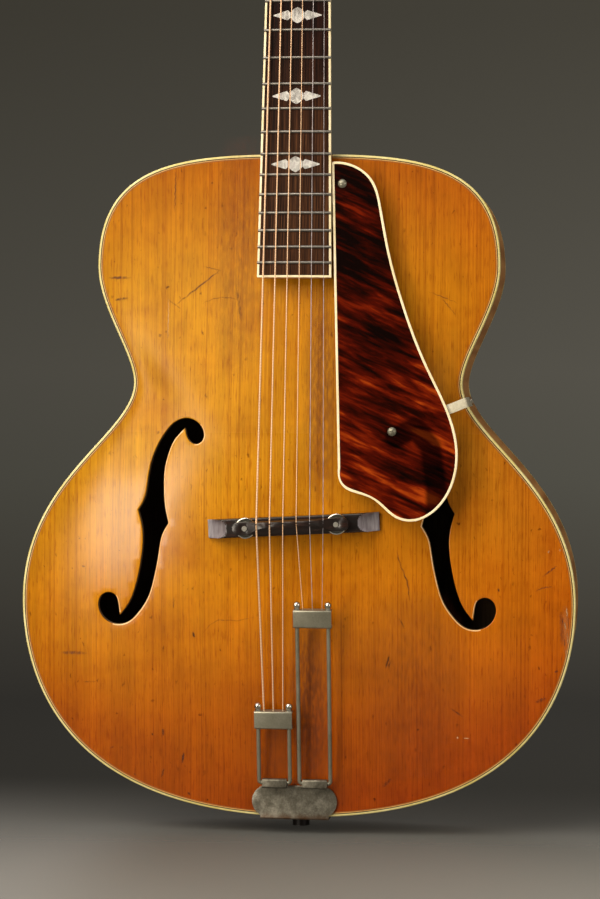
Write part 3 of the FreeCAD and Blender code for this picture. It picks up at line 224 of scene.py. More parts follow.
def makeMaple(name, look, flameRun, fibreRun):
    material, add, coords, axis = startMaterial(name)
    aside = add("Math", [axis["X"]], operation="ABSOLUTE")
    slant = add("Math", (aside, look["slant"], axis["Z"]), operation="MULTIPLY_ADD")
    mirrored = add("CombineXYZ", (aside, axis["Y"], slant))
    flameRates = [share / look["flamePitch"] for share in flameRun]
    flame = stretchedNoise(add, mirrored, flameRates, Detail=2, Roughness=0.45, Distortion=0.35)
    fibreRates = [share / look["fibrePitch"] for share in fibreRun]
    fibre = stretchedNoise(add, coords, fibreRates, Detail=3)
    blend = add("Mix", {0: look["fibreShare"], 2: flame, 3: fibre})
    tone = add("ValToRGB", [blend], look["stops"])
    seam = add("MapRange", (aside, *look["seam"]))
    joined = add("Mix", {0: 1, 6: tone, 7: seam}, **multiply)
    return feedShader(material, {"Base Color": joined, **look["shader"]})


# Finishes told by a few values: a broad and a fine noise over a colour ramp, rates per metre; the basis holds
# what most of them share, such as how far the roughness spreads with the tone
plainBasis = {"broad": 60, "fine": 900, "fineShare": 0.4, "glossSpread": (1.3, 0.75), "relief": 0.05,
              "metal": 0, "specular": 0.5}
plainLooks = {
    # bare spruce and lining wood inside the box: dull, and painted dark as the shade inside it
    "bareSpruceInPaintedShade": {"broad": (90, 90, 6), "fine": (900, 900, 40), "gloss": 0.85, "relief": 0.1,
                   "stops": ((0.35, "#3f2b17"), (0.65, "#5e4527"))},
    # ebonised rosewood of the bridge: nearly black, slightly polished
    "darkRosewood": {"broad": (60, 60, 300), "fine": (90, 400, 1500), "gloss": 0.3, "relief": 0.1,
                     "stops": ((0.36, "#0b0605"), (0.55, "#1c0f0b"), (0.7, "#3a2018"))},
    # end grain at the bridge's scooped tips: grey and streaked, its sheen painted in
    "endGrainPaintedSheen": {"broad": (420, 60, 60), "fine": (1800, 300, 120), "gloss": 0.4, "relief": 0.15,
                     "stops": ((0.34, "#5d565b"), (0.52, "#7b757b"), (0.7, "#948e94"))},
    # celluloid yellowed by age, round the soundbox
    "yellowCelluloid": {"broad": 40, "fine": 500, "gloss": 0.34,
                        "stops": ((0.35, "#c9b869"), (0.55, "#d8cb8c"), (0.8, "#e4dcb0"))},
    # paler celluloid of the board and the guard
    "ivoryCelluloid": {"broad": 40, "fine": 500, "gloss": 0.32,
                       "stops": ((0.35, "#e2d0a0"), (0.55, "#efe1bc"), (0.8, "#f6edd4"))},
    # a pale highlight painted along the sound holes' eased edge
    "paintedEdgeHighlight": {"broad": 90, "fine": (900, 900, 300), "gloss": 0.5,
                 "stops": ((0.35, "#d79a4e"), (0.7, "#f0cf9a"))},
    # vulcanised fibre: black, with a dull polish
    "blackFibre": {"broad": 80, "gloss": 0.42, "relief": 0.02, "specular": 0.25,
                   "stops": ((0.35, "#0a0807"), (0.7, "#1b1512"))},
    # mother of pearl: clouded silver with a hint of rose and green
    "motherOfPearl": {"broad": (150, 60, 110), "fine": (420, 420, 200), "gloss": 0.2, "relief": 0.03,
                      "stops": ((0.38, "#8b8884"), (0.46, "#aeaca8"), (0.53, "#d0cfc9"), (0.6, "#b5aeae"),
                                (0.68, "#a2a8a2"))},
    # bone, polished and yellowed a little
    "polishedBone": {"fine": (700, 700, 300), "gloss": 0.3, "stops": ((0.35, "#cdbd92"), (0.7, "#e4dabb"))},
    # nickel silver of the frets, dulled by use
    "wornFretWire": {"broad": 120, "gloss": 0.42, "relief": 0, "metal": 1,
                     "stops": ((0.35, "#6f6b65"), (0.7, "#948f88"))},
    # nickel plate gone dull and olive, and some kept bright by handling
    "agedNickel": {"fine": 1400, "gloss": 0.36, "relief": 0.01, "metal": 0.7,
                   "stops": ((0.34, "#767363"), (0.5, "#8b8878"), (0.66, "#9e9b8c"))},
    "polishedNickel": {"gloss": 0.13, "relief": 0.02, "metal": 1,
                       "stops": ((0.35, "#b9b6ab"), (0.7, "#d4d1c7"))},
    # turned steel of screws and posts
    "brightSteel": {"broad": 150, "gloss": 0.3, "metal": 0.8, "stops": ((0.35, "#a39f96"), (0.7, "#cfccc3"))},
    # brushed white metal strip beside the guard
    "brushedStrip": {"broad": 160, "gloss": 0.5, "relief": 0.1, "metal": 0.2,
                     "stops": ((0.35, "#a8a28c"), (0.7, "#ccc5b0"))},
}
# stained wood of the purfling's lines
for name, dark, light in (("dark", "#2a210c", "#463716"), ("straw", "#cb9448", "#e0b672"),
                          ("brown", "#7a430a", "#9a5d14")):
    plainLooks[name + "Purfling"] = {"fine": 700, "gloss": 0.4, "relief": 0.04,
                                     "stops": ((0.35, dark), (0.7, light))}


def makePlain(name, look):
    look = {**plainBasis, **look}
    material, add, coords, _ = startMaterial(name)
    broad = stretchedNoise(add, coords, look["broad"], Detail=4)
    fine = stretchedNoise(add, coords, look["fine"], Detail=3)
    both = add("Mix", {0: look["fineShare"], 2: broad, 3: fine})
    tone = add("ValToRGB", [both], look["stops"])
    rough = add("MapRange", (both, *noiseSpan, *(look["gloss"] * share for share in look["glossSpread"])))
    bump = add("Bump", {"Strength": look["relief"], "Distance": bumpDepth, "Height": fine})
    return feedShader(material, {"Base Color": tone, "Roughness": rough, "Normal": bump,
                                 "Metallic": look["metal"], "Specular IOR Level": look["specular"]})


# Tortoise celluloid: thin flames of red and amber in near-black, sloping down to the treble side, polished;
# it lets light through, so the sound hole behind it shows as a darker shape along a few straight runs
tortoiseLook = {
    # flames: pitch along and across them, weight
    "flames": ((60 * mm, 9 * mm, 0.5), (26 * mm, 3.6 * mm, 0.35)), "slope": 24,
    "cloudRate": 24, "clouds": 0.15,
    "stops": ((0.42, "#0b0302"), (0.52, "#250501"), (0.62, "#420a02"), (0.72, "#651804"), (0.84, "#983a0b")),
    # from the noise to the ramp, and how it falls with the level
    "spread": (0.36, 0.64, 0.32, 0.8), "fall": (0.28, 0.52, 0.08, -0.12),
    # the hole's runs from x, z to x, z in millimetres, and its shade by the distance from them
    "hole": ((80, 310, 95, 318), (95, 318, 107, 303), (107, 303, 112, 272), (112, 272, 113, 240)),
    "shade": (6 * mm, 10.5 * mm, 0.2, 1),
    "shader": {"Roughness": 0.3, "Specular IOR Level": 0.02, "Coat Weight": 0.12, "Coat Roughness": 0.06},
}


def makeTortoise(name, look):
    material, add, coords, axis = startMaterial(name)
    turned = add("Mapping", {"Vector": coords, "Rotation": (0, -math.radians(look["slope"]), 0)})
    clouds = add("TexNoise", {"Vector": coords, "Scale": look["cloudRate"], "Detail": 2})
    blend = add("Math", (clouds, look["clouds"]), operation="MULTIPLY")
    for along, across, weight in look["flames"]:
        rates = (1 / along, 1, 1 / across)
        flames = stretchedNoise(add, turned, rates, Detail=4, Roughness=0.55, Distortion=0.5)
        blend = add("Math", (flames, weight, blend), operation="MULTIPLY_ADD")
    lift = add("MapRange", (blend, *look["spread"]))
    fall = add("MapRange", (axis["Z"], *look["fall"]))
    level = add("Math", (lift, fall), operation="ADD")
    tone = add("ValToRGB", [level], look["stops"])
    # the distance to the nearest of the hole's runs
    nearest = 1
    for x0, z0, x1, z1 in look["hole"]:
        start, run = Vector((x0, 0, z0)) * mm, Vector((x1 - x0, 0, z1 - z0)) * mm
        flat = add("VectorMath", (coords, (1, 0, 1), -start), operation="MULTIPLY_ADD")
        share = add("VectorMath", (flat, run / run.length_squared), operation="DOT_PRODUCT")
        near = add("VectorMath", {0: run, "Scale": add("Clamp", [share])}, operation="SCALE")
        away = add("VectorMath", (flat, near), operation="DISTANCE")
        nearest = add("Math", (away, nearest), operation="MINIMUM")
    shade = add("MapRange", (nearest, *look["shade"]), **smooth)
    shaded = add("Mix", {0: 1, 6: tone, 7: shade}, **multiply)
    return feedShader(material, {"Base Color": shaded, **look["shader"]})


# Oiled rosewood of the board: fine streaks along it, browner and drier towards its lower end
boardLook = {
    "streaks": (900, 200, 9), "dry": (0.47, 0.66), "relief": 0.2,
    "oiled": ((0.34, "#070302"), (0.5, "#130705"), (0.62, "#240d08"), (0.72, "#3a190e")),
    "worn": ((0.34, "#190d08"), (0.5, "#382113"), (0.62, "#50311d"), (0.72, "#654428")),
    "shader": {"Roughness": 0.5, "Specular IOR Level": 0.06},
}


def makeBoard(name, look):
    material, add, coords, axis = startMaterial(name)
    streaks = stretchedNoise(add, coords, look["streaks"], Detail=4, Roughness=0.62)
    oiled, worn = (add("ValToRGB", [streaks], look[state]) for state in ("oiled", "worn"))
    share = add("MapRange", (axis["Z"], *look["dry"], 1, 0), **smooth)
    both = add("Mix", {0: share, 6: oiled, 7: worn}, **colour)
    bump = add("Bump", {"Strength": look["relief"], "Distance": bumpDepth, "Height": streaks})
    return feedShader(material, {"Base Color": both, "Normal": bump, **look["shader"]})


# Strings: bronze winding on the four lower ones, plain steel on the two upper ones; the winding is drawn
# at twice its true pitch, which would be too fine to show
stringLook = {
    "pitch": 1.2 * mm, "patchRate": 150, "relief": 0.25, "shader": {"Metallic": 0.4, "Roughness": 0.4},
    # level and spread of the strings at the saddle and the nut, and the share of it from which they are plain
    "saddle": (0.241, 51.7 * mm), "nut": (0.887, 36 * mm), "plainFrom": 0.2,
    "bronze": ((0, "#cf9a6c"), (1, "#f4d6b4")), "steel": ((0.3, "#958f95"), (0.7, "#c9c3c6")),
}


def makeStrings(name, look):
    material, add, coords, axis = startMaterial(name)
    levels, spreads = zip(look["saddle"], look["nut"])
    begin = add("MapRange", (axis["Z"], *levels, *(look["plainFrom"] * spread for spread in spreads)))
    plain = add("Math", (axis["X"], begin), operation="GREATER_THAN")
    winding = add("TexWave", {"Vector": coords, "Distortion": 0, "Scale": math.pi / 10 / look["pitch"]},
                  bands_direction="Z").outputs["Fac"]
    bronze = add("ValToRGB", [winding], look["bronze"])
    patches = add("TexNoise", {"Vector": coords, "Scale": look["patchRate"], "Detail": 3})
    steel = add("ValToRGB", [patches], look["steel"])
    both = add("Mix", {0: plain, 6: bronze, 7: steel}, **colour)
    ridge = add("Mix", {0: plain, 2: winding, 3: 0.5})  # plain wire lies at the winding's mean
    bump = add("Bump", {"Strength": look["relief"], "Distance": bumpDepth, "Height": ridge})
    return feedShader(material, {"Base Color": both, "Normal": bump, **look["shader"]})


# Bracket metal: the aged nickel with clouded patches, paler at its foot and browned along the tail's bend
bracketLook = {
    "stops": ((0.3, "#454137"), (0.5, "#716d61"), (0.7, "#a5a194")), "cloudRate": 150,
    "foot": (12 * mm, 34 * mm, 0.07, -0.06), "gloss": (0.55, 0.32), "relief": 0.25,
    "shader": {"Metallic": 0.75},
    # the brown ends between these levels, along an edge as ragged as the clouds
    "brown": "#5b3a1f", "bend": (12.5 * mm, 18 * mm, 0.85, 0), "ragged": 8 * mm,
}


def makeBracket(name, look):
    material, add, coords, axis = startMaterial(name)
    clouds = add("TexNoise", {"Vector": coords, "Scale": look["cloudRate"], "Detail": 8, "Roughness": 0.76})
    low = add("MapRange", (axis["Z"], *look["foot"]))
    fade = add("Math", (clouds, low), operation="ADD")
    tone = add("ValToRGB", [fade], look["stops"])
    edge = add("Math", (clouds, look["ragged"], axis["Z"]), operation="MULTIPLY_ADD")
    worn = add("MapRange", (edge, *look["bend"]))
    both = add("Mix", {0: worn, 6: tone, 7: paint(look["brown"])}, **colour)
    rough = add("MapRange", (clouds, *noiseSpan, *look["gloss"]))
    bump = add("Bump", {"Strength": look["relief"], "Distance": bumpDepth, "Height": clouds})
    return feedShader(material, {"Base Color": both, "Roughness": rough, "Normal": bump, **look["shader"]})


makers = {
    "lacqueredSpruce": (makeSpruce, spruceLook), "wornLacquer": (makeWearAndShade, wearAndShadeLook),
    "tortoiseCelluloid": (makeTortoise, tortoiseLook), "stringWire": (makeStrings, stringLook),
    "tarnishedNickel": (makeBracket, bracketLook), "oiledRosewood": (makeBoard, boardLook),
}
finishes = {name: makePlain(name, look) for name, look in plainLooks.items()}
finishes.update({name: make(name, look) for name, (make, look) in makers.items()})
for part in ("back", "ribs", "neck"):
    finishes["flamedMaple-" + part] = makeMaple("flamedMaple-" + part, mapleLook, *mapleLook[part])
print("finishes made:", len(finishes))

# Which finish each carried-over node takes
nodeFinishes = {
    "lacqueredSpruce": ["top_plate"],
    "flamedMaple-back": ["back_plate"],
    "flamedMaple-ribs": ["bass_rib", "treble_rib"],
    "flamedMaple-neck": ["neck"],
    "bareSpruceInPaintedShade": ["top_lining", "back_lining", "neck_block", "tail_block", "tone_bars", "pickguard_spacer"],
    "yellowCelluloid": ["top_binding", "back_binding"],
    "ivoryCelluloid": ["fingerboard_binding", "pickguard_binding"],
    "blackFibre": ["top_purfling", "headstock_veneer", "end_pin"],
    "oiledRosewood": ["fingerboard"],
    "darkRosewood": ["bridge_base", "bridge_saddle"],
    "wornFretWire": ["frets"],
    "motherOfPearl": ["position_inlays"],
    "polishedBone": ["nut"],
    "tortoiseCelluloid": ["pickguard"],
    "tarnishedNickel": ["tailpiece_bracket"],
    "agedNickel": ["bass_trapeze", "bass_string_holder", "treble_trapeze", "treble_string_holder",
                   "tuner_plates", "tuner_bushings", "pickguard_screws"]
                  + ["tuner_%s_%d" % (kind, i) for kind in ("post", "button") for i in range(1, 7)],
    "polishedNickel": ["bass_trapeze_nuts", "treble_trapeze_nuts", "bass_thumbwheel", "treble_thumbwheel"],
    "brightSteel": ["bridge_posts", "pickguard_bracket_screw", "tailpiece_screws", "tuner_screws",
                    "truss_rod"],
    "brushedStrip": ["pickguard_bracket"],
    "stringWire": ["speaking_strings", "bass_after_strings", "treble_after_strings", "head_strings"],
}
for finish, members in nodeFinishes.items():
    for member in members:
        nodes[member].material_slots[0].material = finishes[finish]
print("finishes given to nodes")

# Soundbox: widths and levels of its outline, handles of its curves, depths and arches, in millimetres
soundbox = {
    "widths": (437, 259, 316.6), "levels": (168.6, 340.7, 431.9, 519.4), "depth": 85.7, "lift": 10.5,
    "handles": (0.905, 0.294, 0.559, 0.238, 0.249, 0.355, 0.97, 0.555),
    "centreShare": 0.472, "ovalShares": (0.87, 0.963), "foot": 0.96, "hollow": 0.92,
    "topEdge": 6, "topArch": 17, "backEdge": 5, "backArch": 16,
    "binding": 2.2, "purfling": 1.5, "rebate": 1.6,
    # how finely curves, the rim and contours are worked out, and the step that gives the edge's direction
    "curvePoints": 300, "rimPoints": 2400, "halvings": 40, "nudge": 0.5,
}
archCentre = np.array((0, soundbox["centreShare"] * soundbox["levels"][-1]))
archOval = np.array(soundbox["ovalShares"]) * (soundbox["widths"][0], soundbox["levels"][-1])


# Row frame from a place on the box: x across, z from the tail edge, h above the top's rim
def inRow(x, z, h):
    x, z, h = np.broadcast_arrays(x, z, h)
    return np.stack([x, -(soundbox["depth"] / 2 + h), z + soundbox["lift"]], -1) * mm


# Unit directions to the right of the steps of a line
def toRight(steps):
    steps = steps / np.linalg.norm(steps, axis=1)[:, None]
    return np.stack([steps[:, 1], -steps[:, 0]], 1)


# Soundbox edge: four cubic Bezier curves from tail to neck, mirrored, then spaced evenly; starts at the neck,
# runs down the bass side and up the treble side, and gives points and outward directions
def edgeLine(count, inset=0, gap=0):
    low, mid, top = (w / 2 for w in soundbox["widths"])
    a, b, c, d = soundbox["levels"]
    k = soundbox["handles"]
    poles = np.array([[(0, 0), (k[0] * low, 0), (low, a * (1 - k[1])), (low, a)],
                      [(low, a), (low, a + k[2] * (b - a)), (mid, b - k[3] * (b - a)), (mid, b)],
                      [(mid, b), (mid, b + k[4] * (c - b)), (top, c - k[5] * (c - b)), (top, c)],
                      [(top, c), (top, c + k[6] * (d - c)), (k[7] * top, d), (0, d)]], float)
    t = np.linspace(0, 1, soundbox["curvePoints"])[None, :, None]
    curves = ((1 - t) ** 3 * poles[:, None, 0] + 3 * (1 - t) ** 2 * t * poles[:, None, 1]
              + 3 * (1 - t) * t ** 2 * poles[:, None, 2] + t ** 3 * poles[:, None, 3])
    side = np.concatenate([curves[0]] + [curve[1:] for curve in curves[1:]])
    loop = np.concatenate([side[::-1] * (-1, 1), side[1:]])
    run = np.concatenate([[0], np.cumsum(np.linalg.norm(np.diff(loop, axis=0), axis=1))])

    def at(place):
        return np.stack([np.interp(place % run[-1], run, loop[:, i]) for i in (0, 1)], 1)

    steps = np.linspace(gap, run[-1] - gap, count, endpoint=gap > 0)
    outward = toRight(at(steps + soundbox["nudge"]) - at(steps - soundbox["nudge"]))
    return at(steps) - inset * outward, outward


# Reach of the arch's oval in a direction from its centre
def ovalReach(turn):
    return 0.5 / np.hypot(np.cos(turn) / archOval[0], np.sin(turn) / archOval[1])


# Which contour of an arch runs through a place: contours grow from an oval to the box's outline, by a line
# and a cube of their share, and the share is found by halving
def contourShare(x, z, foot):
    rim = edgeLine(soundbox["rimPoints"])[0] - archCentre
    angle = np.arctan2(rim[:, 1], rim[:, 0])
    order = np.argsort(angle)
    x, up = np.asarray(x, float), np.asarray(z, float) - archCentre[1]
    turn = np.arctan2(up, x)
    reach = np.interp(turn, angle[order], np.hypot(rim[:, 0], rim[:, 1])[order], period=2 * np.pi)
    oval, away = ovalReach(turn), np.hypot(x, up) / foot
    low, high = np.zeros_like(away), np.ones_like(away)
    for _ in range(soundbox["halvings"]):
        middle = (low + high) / 2
        within = middle * oval + middle ** 3 * (reach - oval) > away
        low, high = np.where(within, low, middle), np.where(within, middle, high)
    return low


# Rings of places from the arch's foot to near its middle, on contours of even shares
def archRings(count, columns, innermost):
    edge = edgeLine(columns)[0] - archCentre
    stretch = ovalReach(np.arctan2(edge[:, 1], edge[:, 0])) / np.linalg.norm(edge, axis=1)
    shares = np.linspace(1, innermost, count)[:, None]
    scale = soundbox["foot"] * (shares ** 3 + (shares - shares ** 3) * stretch)
    return edge * scale[..., None] + archCentre


# Height of a carved arch: it rises as the square of a cosine from the foot to the middle
def archHeight(x, z, height, foot, base):
    return base + height * np.cos(np.pi / 2 * contourShare(x, z, foot) ** 1.5) ** 2


# Height of the top's outside above its rim
def topHeight(x, z):
    return archHeight(x, z, soundbox["topArch"], soundbox["foot"], 0)


# A mesh as a piece on the body of its nodes, and in their place unless it only lies on them
def standFor(name, mesh, nodesOf, laidOn=False):
    piece = bpy.data.objects.new(name, mesh)
    bpy.context.scene.collection.objects.link(piece)
    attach(piece, nodeBodies[nodesOf[0]])
    if not laidOn:
        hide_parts(*nodesOf)


# A piece from points and faces, with its finishes; edges over the sharp angle aren't smoothed, and values are
# attributes of its points
def putPiece(name, points, faces, looks, nodesOf, faceLooks=None, sharp=38, values=(), laidOn=False):
    mesh = bpy.data.meshes.new(name)
    mesh.from_pydata(np.asarray(points).reshape(-1, 3).tolist(), [], [list(map(int, face)) for face in faces])
    for look in looks:
        mesh.materials.append(finishes[look])
    if faceLooks is not None:
        mesh.polygons.foreach_set("material_index", np.asarray(faceLooks, np.int32))
    for label, numbers in values:
        kept = mesh.attributes.new(label, "FLOAT", "POINT")
        kept.data.foreach_set("value", np.asarray(numbers, np.float32).ravel())
    shell = bmesh.new()
    shell.from_mesh(mesh)
    bmesh.ops.recalc_face_normals(shell, faces=shell.faces)
    shell.to_mesh(mesh)
    shell.free()
    mesh.polygons.foreach_set("use_smooth", np.ones(len(mesh.polygons), bool))
    mesh.set_sharp_from_angle(angle=math.radians(sharp))
    standFor(name, mesh, nodesOf, laidOn)


# Quads between neighbours of a grid; a wrapped side joins its last line to its first
def gridFaces(rows, columns, wrapRows=False, wrapColumns=False):
    r, c = np.meshgrid(np.arange(rows if wrapRows else rows - 1),
                       np.arange(columns if wrapColumns else columns - 1), indexing="ij")
    s, d = (r + 1) % rows, (c + 1) % columns
    return np.stack([r * columns + c, r * columns + d, s * columns + d, s * columns + c], -1).reshape(-1, 4)


# The two end faces of a grid whose columns are wrapped
def endFaces(rows, columns):
    return [list(range(columns)), list(range((rows - 1) * columns, rows * columns))]


# A closed profile of insets and heights carried round the box's edge; open at the neck where it has a gap
def edgeStrip(profile, count, gap):
    profile = np.array(profile, float)
    points, outward = edgeLine(count, gap=gap)
    place = points[:, None] - profile[None, :, :1] * outward[:, None]
    strip = inRow(place[..., 0], place[..., 1], profile[:, 1])
    faces = gridFaces(count, len(profile), wrapRows=gap == 0, wrapColumns=True).tolist()
    return strip, faces + (endFaces(count, len(profile)) if gap else [])


# Bindings: rounded on the outer corner, so that they catch a line of light
edging = {
    "count": 900, "neckGap": 27, "round": 1.1, "arc": (0, 22, 45, 68, 90),
    # purfling: where its lines lie, as shares of its width from the binding, and how far it stands proud
    "lineShares": (-0.33, 0.2, 0.5, 1), "proud": 0.02,
}
wide, corner, topEdge = soundbox["binding"], edging["round"], soundbox["topEdge"]
arc = np.radians(edging["arc"])
rounded = np.stack([corner - corner * np.cos(arc), corner * np.sin(arc) - corner], 1)
topProfile = np.concatenate([[(0, -topEdge)], rounded, [(wide, 0), (wide, -topEdge)]])
backProfile = topProfile * (1, -soundbox["backEdge"] / topEdge) - (0, soundbox["depth"])
for name, profile, gap in (("top", topProfile, edging["neckGap"]), ("back", backProfile, 0)):
    strip, faces = edgeStrip(profile, edging["count"], gap)
    putPiece(name + "Edging", strip, faces, ["yellowCelluloid"], [name + "_binding"])

# Purfling: a dark, a straw and a brown line, let into the top beside the binding
insets = np.array(edging["lineShares"]) * soundbox["purfling"] + wide
purflingProfile = [(inset, edging["proud"]) for inset in insets]
purflingProfile += [(inset, -soundbox["rebate"]) for inset in insets[[-1, 0]]]
strip, faces = edgeStrip(purflingProfile, edging["count"], edging["neckGap"])
lineLooks = np.tile((0, 1, 2, 0, 0, 0), edging["count"] - 1).tolist() + [0, 0]
purflingLooks = ["darkPurfling", "strawPurfling", "brownPurfling"]
putPiece("topPurfling", strip, faces, purflingLooks, ["top_purfling"], lineLooks)
print("edging laid")

# Sound holes: the box round one, and runs of shares of it that outline it from lobe to lobe
soundHole = {
    "inner": 71.4, "width": 85.5, "foot": 150, "length": 163, "step": 1.1,
    # how the edge is eased: distance from the hole and drop
    "ease": ((0.9, 0), (0.5, 0.05), (0.2, 0.2), (0, 0.55)),
    "runs": (
        ((0.18, 0.952), (0.145, 0.895), (0.083, 0.875), (0.018, 0.89), (0, 0.925), (0.07, 0.984), (0.18, 1),
         (0.284, 0.979), (0.37, 0.931), (0.454, 0.856), (0.531, 0.7), (0.565, 0.606), (0.621, 0.555)),
        ((0.621, 0.555), (0.58, 0.47), (0.578, 0.37), (0.602, 0.282), (0.646, 0.185), (0.711, 0.102),
         (0.793, 0.045)),
        ((0.793, 0.045), (0.806, 0.1), (0.836, 0.141), (0.903, 0.154), (0.968, 0.139), (1, 0.1),
         (0.98, 0.052), (0.925, 0.018), (0.83, 0), (0.73, 0.008), (0.61, 0.063), (0.536, 0.12),
         (0.468, 0.225), (0.418, 0.36), (0.39, 0.434), (0.328, 0.494)),
        ((0.328, 0.494), (0.36, 0.57), (0.374, 0.665), (0.368, 0.755), (0.335, 0.828), (0.28, 0.894),
         (0.18, 0.952)),
    ),
}


# Smooth run through points: a natural cubic spline over the distance between them, spaced evenly
def smoothRun(points, step):
    points = np.array(points, float)
    gaps = np.linalg.norm(np.diff(points, axis=0), axis=1)
    knots = np.concatenate([[0], np.cumsum(gaps)])
    n = len(points)
    system, right = np.eye(n), np.zeros((n, 2))
    i = np.arange(1, n - 1)
    system[i, i - 1], system[i, i], system[i, i + 1] = gaps[:-1], 2 * (gaps[:-1] + gaps[1:]), gaps[1:]
    slopes = np.diff(points, axis=0) / gaps[:, None]
    right[1:-1] = 6 * np.diff(slopes, axis=0)
    bend = np.linalg.solve(system, right)
    along = np.linspace(0, knots[-1], max(int(knots[-1] / step), 4))[:-1]
    k = np.clip(np.searchsorted(knots, along, side="right") - 1, 0, n - 2)
    ahead, behind, gap = (knots[k + 1] - along)[:, None], (along - knots[k])[:, None], gaps[k][:, None]
    return (bend[k] * ahead ** 3 / (6 * gap) + bend[k + 1] * behind ** 3 / (6 * gap)
            + (points[k] / gap - bend[k] * gap / 6) * ahead
            + (points[k + 1] / gap - bend[k + 1] * gap / 6) * behind)


# Places moved sideways from a closed line by a distance
def moved(line, distance):
    return line + distance * toRight(np.roll(line, -1, 0) - np.roll(line, 1, 0))


# Which places lie inside a closed line: crossings of a ray to the right are counted
def inside(places, line):
    x, z = places[:, 0][:, None], places[:, 1][:, None]
    a, b = line, np.roll(line, -1, 0)
    spans = (a[:, 1] > z) != (b[:, 1] > z)
    rise = np.where(b[:, 1] == a[:, 1], 1e-9, b[:, 1] - a[:, 1])
    cross = a[:, 0] + (z - a[:, 1]) / rise * (b[:, 0] - a[:, 0])
    return (spans & (x < cross)).sum(1) % 2 == 1


# Carved top: rings of places from the edge to the middle and the holes' lines are joined into triangles,
# raised to the arch in front and to the hollow behind, and closed round the edge and through the holes
carvedTop = {
    "columns": 420, "rows": 34, "innermost": 0.03, "clear": 1.6, "merge": 1e-5,
    # the holes' eased edge takes a painted pale highlight where it faces the bridge: which way and from which
    # share on
    "highlightWay": (0.85, -0.5), "highlightFrom": 0.25,
}
columns, rebate, eased = carvedTop["columns"], soundbox["rebate"], len(soundHole["ease"])
rim, _ = edgeLine(columns, soundbox["binding"] + soundbox["purfling"])
rings = archRings(carvedTop["rows"], columns, carvedTop["innermost"])
inner = np.concatenate([(rim + rings[0])[None] / 2, rings]).reshape(-1, 2)
holeBox, holeFoot = (soundHole["width"], soundHole["length"]), (soundHole["inner"], soundHole["foot"])
runs = [smoothRun(np.array(run) * holeBox + holeFoot, soundHole["step"]) for run in soundHole["runs"]]
hole = np.concatenate(runs)
# anticlockwise, so that a line moved to its right lies outside the hole
if np.sum(hole[:, 0] * np.roll(hole[:, 1], -1) - np.roll(hole[:, 0], -1) * hole[:, 1]) < 0:
    hole = hole[::-1]
holePair = [hole, (hole * (-1, 1))[::-1]]
# closed lines round the rim and the holes, and the places between that keep clear of the holes
loops = [rim] + [moved(line, distance) for line in holePair for distance, _ in soundHole["ease"]]
for line in holePair:
    inner = inner[~inside(inner, moved(line, carvedTop["clear"]))]
inputs = np.concatenate(loops + [inner, [archCentre]])
starts = np.split(np.arange(sum(map(len, loops))), np.cumsum([len(loop) for loop in loops])[:-1])
edges = np.concatenate([np.stack([index, np.roll(index, -1)], 1) for index in starts]).tolist()
plan = geometry.delaunay_2d_cdt([Vector(p) for p in inputs], edges, [], 0, carvedTop["merge"])
places, triangles, origins = np.array([p[:] for p in plan[0]]), np.array(plan[2]), plan[3]
middles = places[triangles].mean(1)
triangles = triangles[inside(middles, rim) & ~inside(middles, holePair[0]) & ~inside(middles, holePair[1])]
# where each place that went in came out
found = np.full(len(inputs), -1)
found[np.concatenate(origins).astype(int)] = np.repeat(np.arange(len(origins)), [len(o) for o in origins])
rimRing, holeRings = found[starts[0]], [found[index] for index in starts[1:]]
# heights in front and behind, then the rebate for the purfling and the wall inside the binding
across, up = places.T
front = topHeight(across, up)
behind = archHeight(across, up, soundbox["topArch"], soundbox["hollow"], -topEdge)
for ring, (_, drop) in zip(holeRings, soundHole["ease"] * 2):
    front[ring] -= drop
count = len(places)
wall, _ = edgeLine(columns, soundbox["binding"])
points = np.concatenate([inRow(across, up, front), inRow(across, up, behind), inRow(*rim.T, -rebate),
                         inRow(*wall.T, -rebate), inRow(*wall.T, -topEdge)])
rows = [rimRing] + [2 * count + k * columns + np.arange(columns) for k in range(3)] + [count + rimRing]
rows = list(zip(rows, rows[1:]))
holeRows = [(ring, count + ring) for ring in (holeRings[eased - 1], holeRings[-1])]
# how far each place on an eased edge faces the bridge
facing = np.full(count, -1.0)
for line, side, group in zip(holePair, (-1, 1), (holeRings[:eased], holeRings[eased:])):
    away = (moved(line, 1) - line) @ (np.array(carvedTop["highlightWay"]) * (side, 1))
    for ring in group:
        facing[ring] = away
# painted highlight: triangles of the eased edge that face the bridge take the pale finish
worn = (facing[triangles].min(1) > carvedTop["highlightFrom"]) & ((facing[triangles] > -1).all(1))
faces = triangles.tolist() + (triangles[:, ::-1] + count).tolist()
faceLooks = np.where(worn, 2, 0).tolist() + [1] * len(triangles)
for pairs, look in ((rows, 0), (holeRows, 1)):
    for a, b in pairs:
        faces += np.stack([a, np.roll(a, -1), np.roll(b, -1), b], 1).tolist()
        faceLooks += [look] * len(a)
nearEdge = contourShare(points[:, 0] / mm, points[:, 2] / mm - soundbox["lift"], 1)
putPiece("carvedTop", points, faces, ["lacqueredSpruce", "bareSpruceInPaintedShade", "paintedEdgeHighlight"], ["top_plate"], faceLooks,
         values=[("edgeShare", nearEdge)])
print("top carved:", len(faces), "faces")
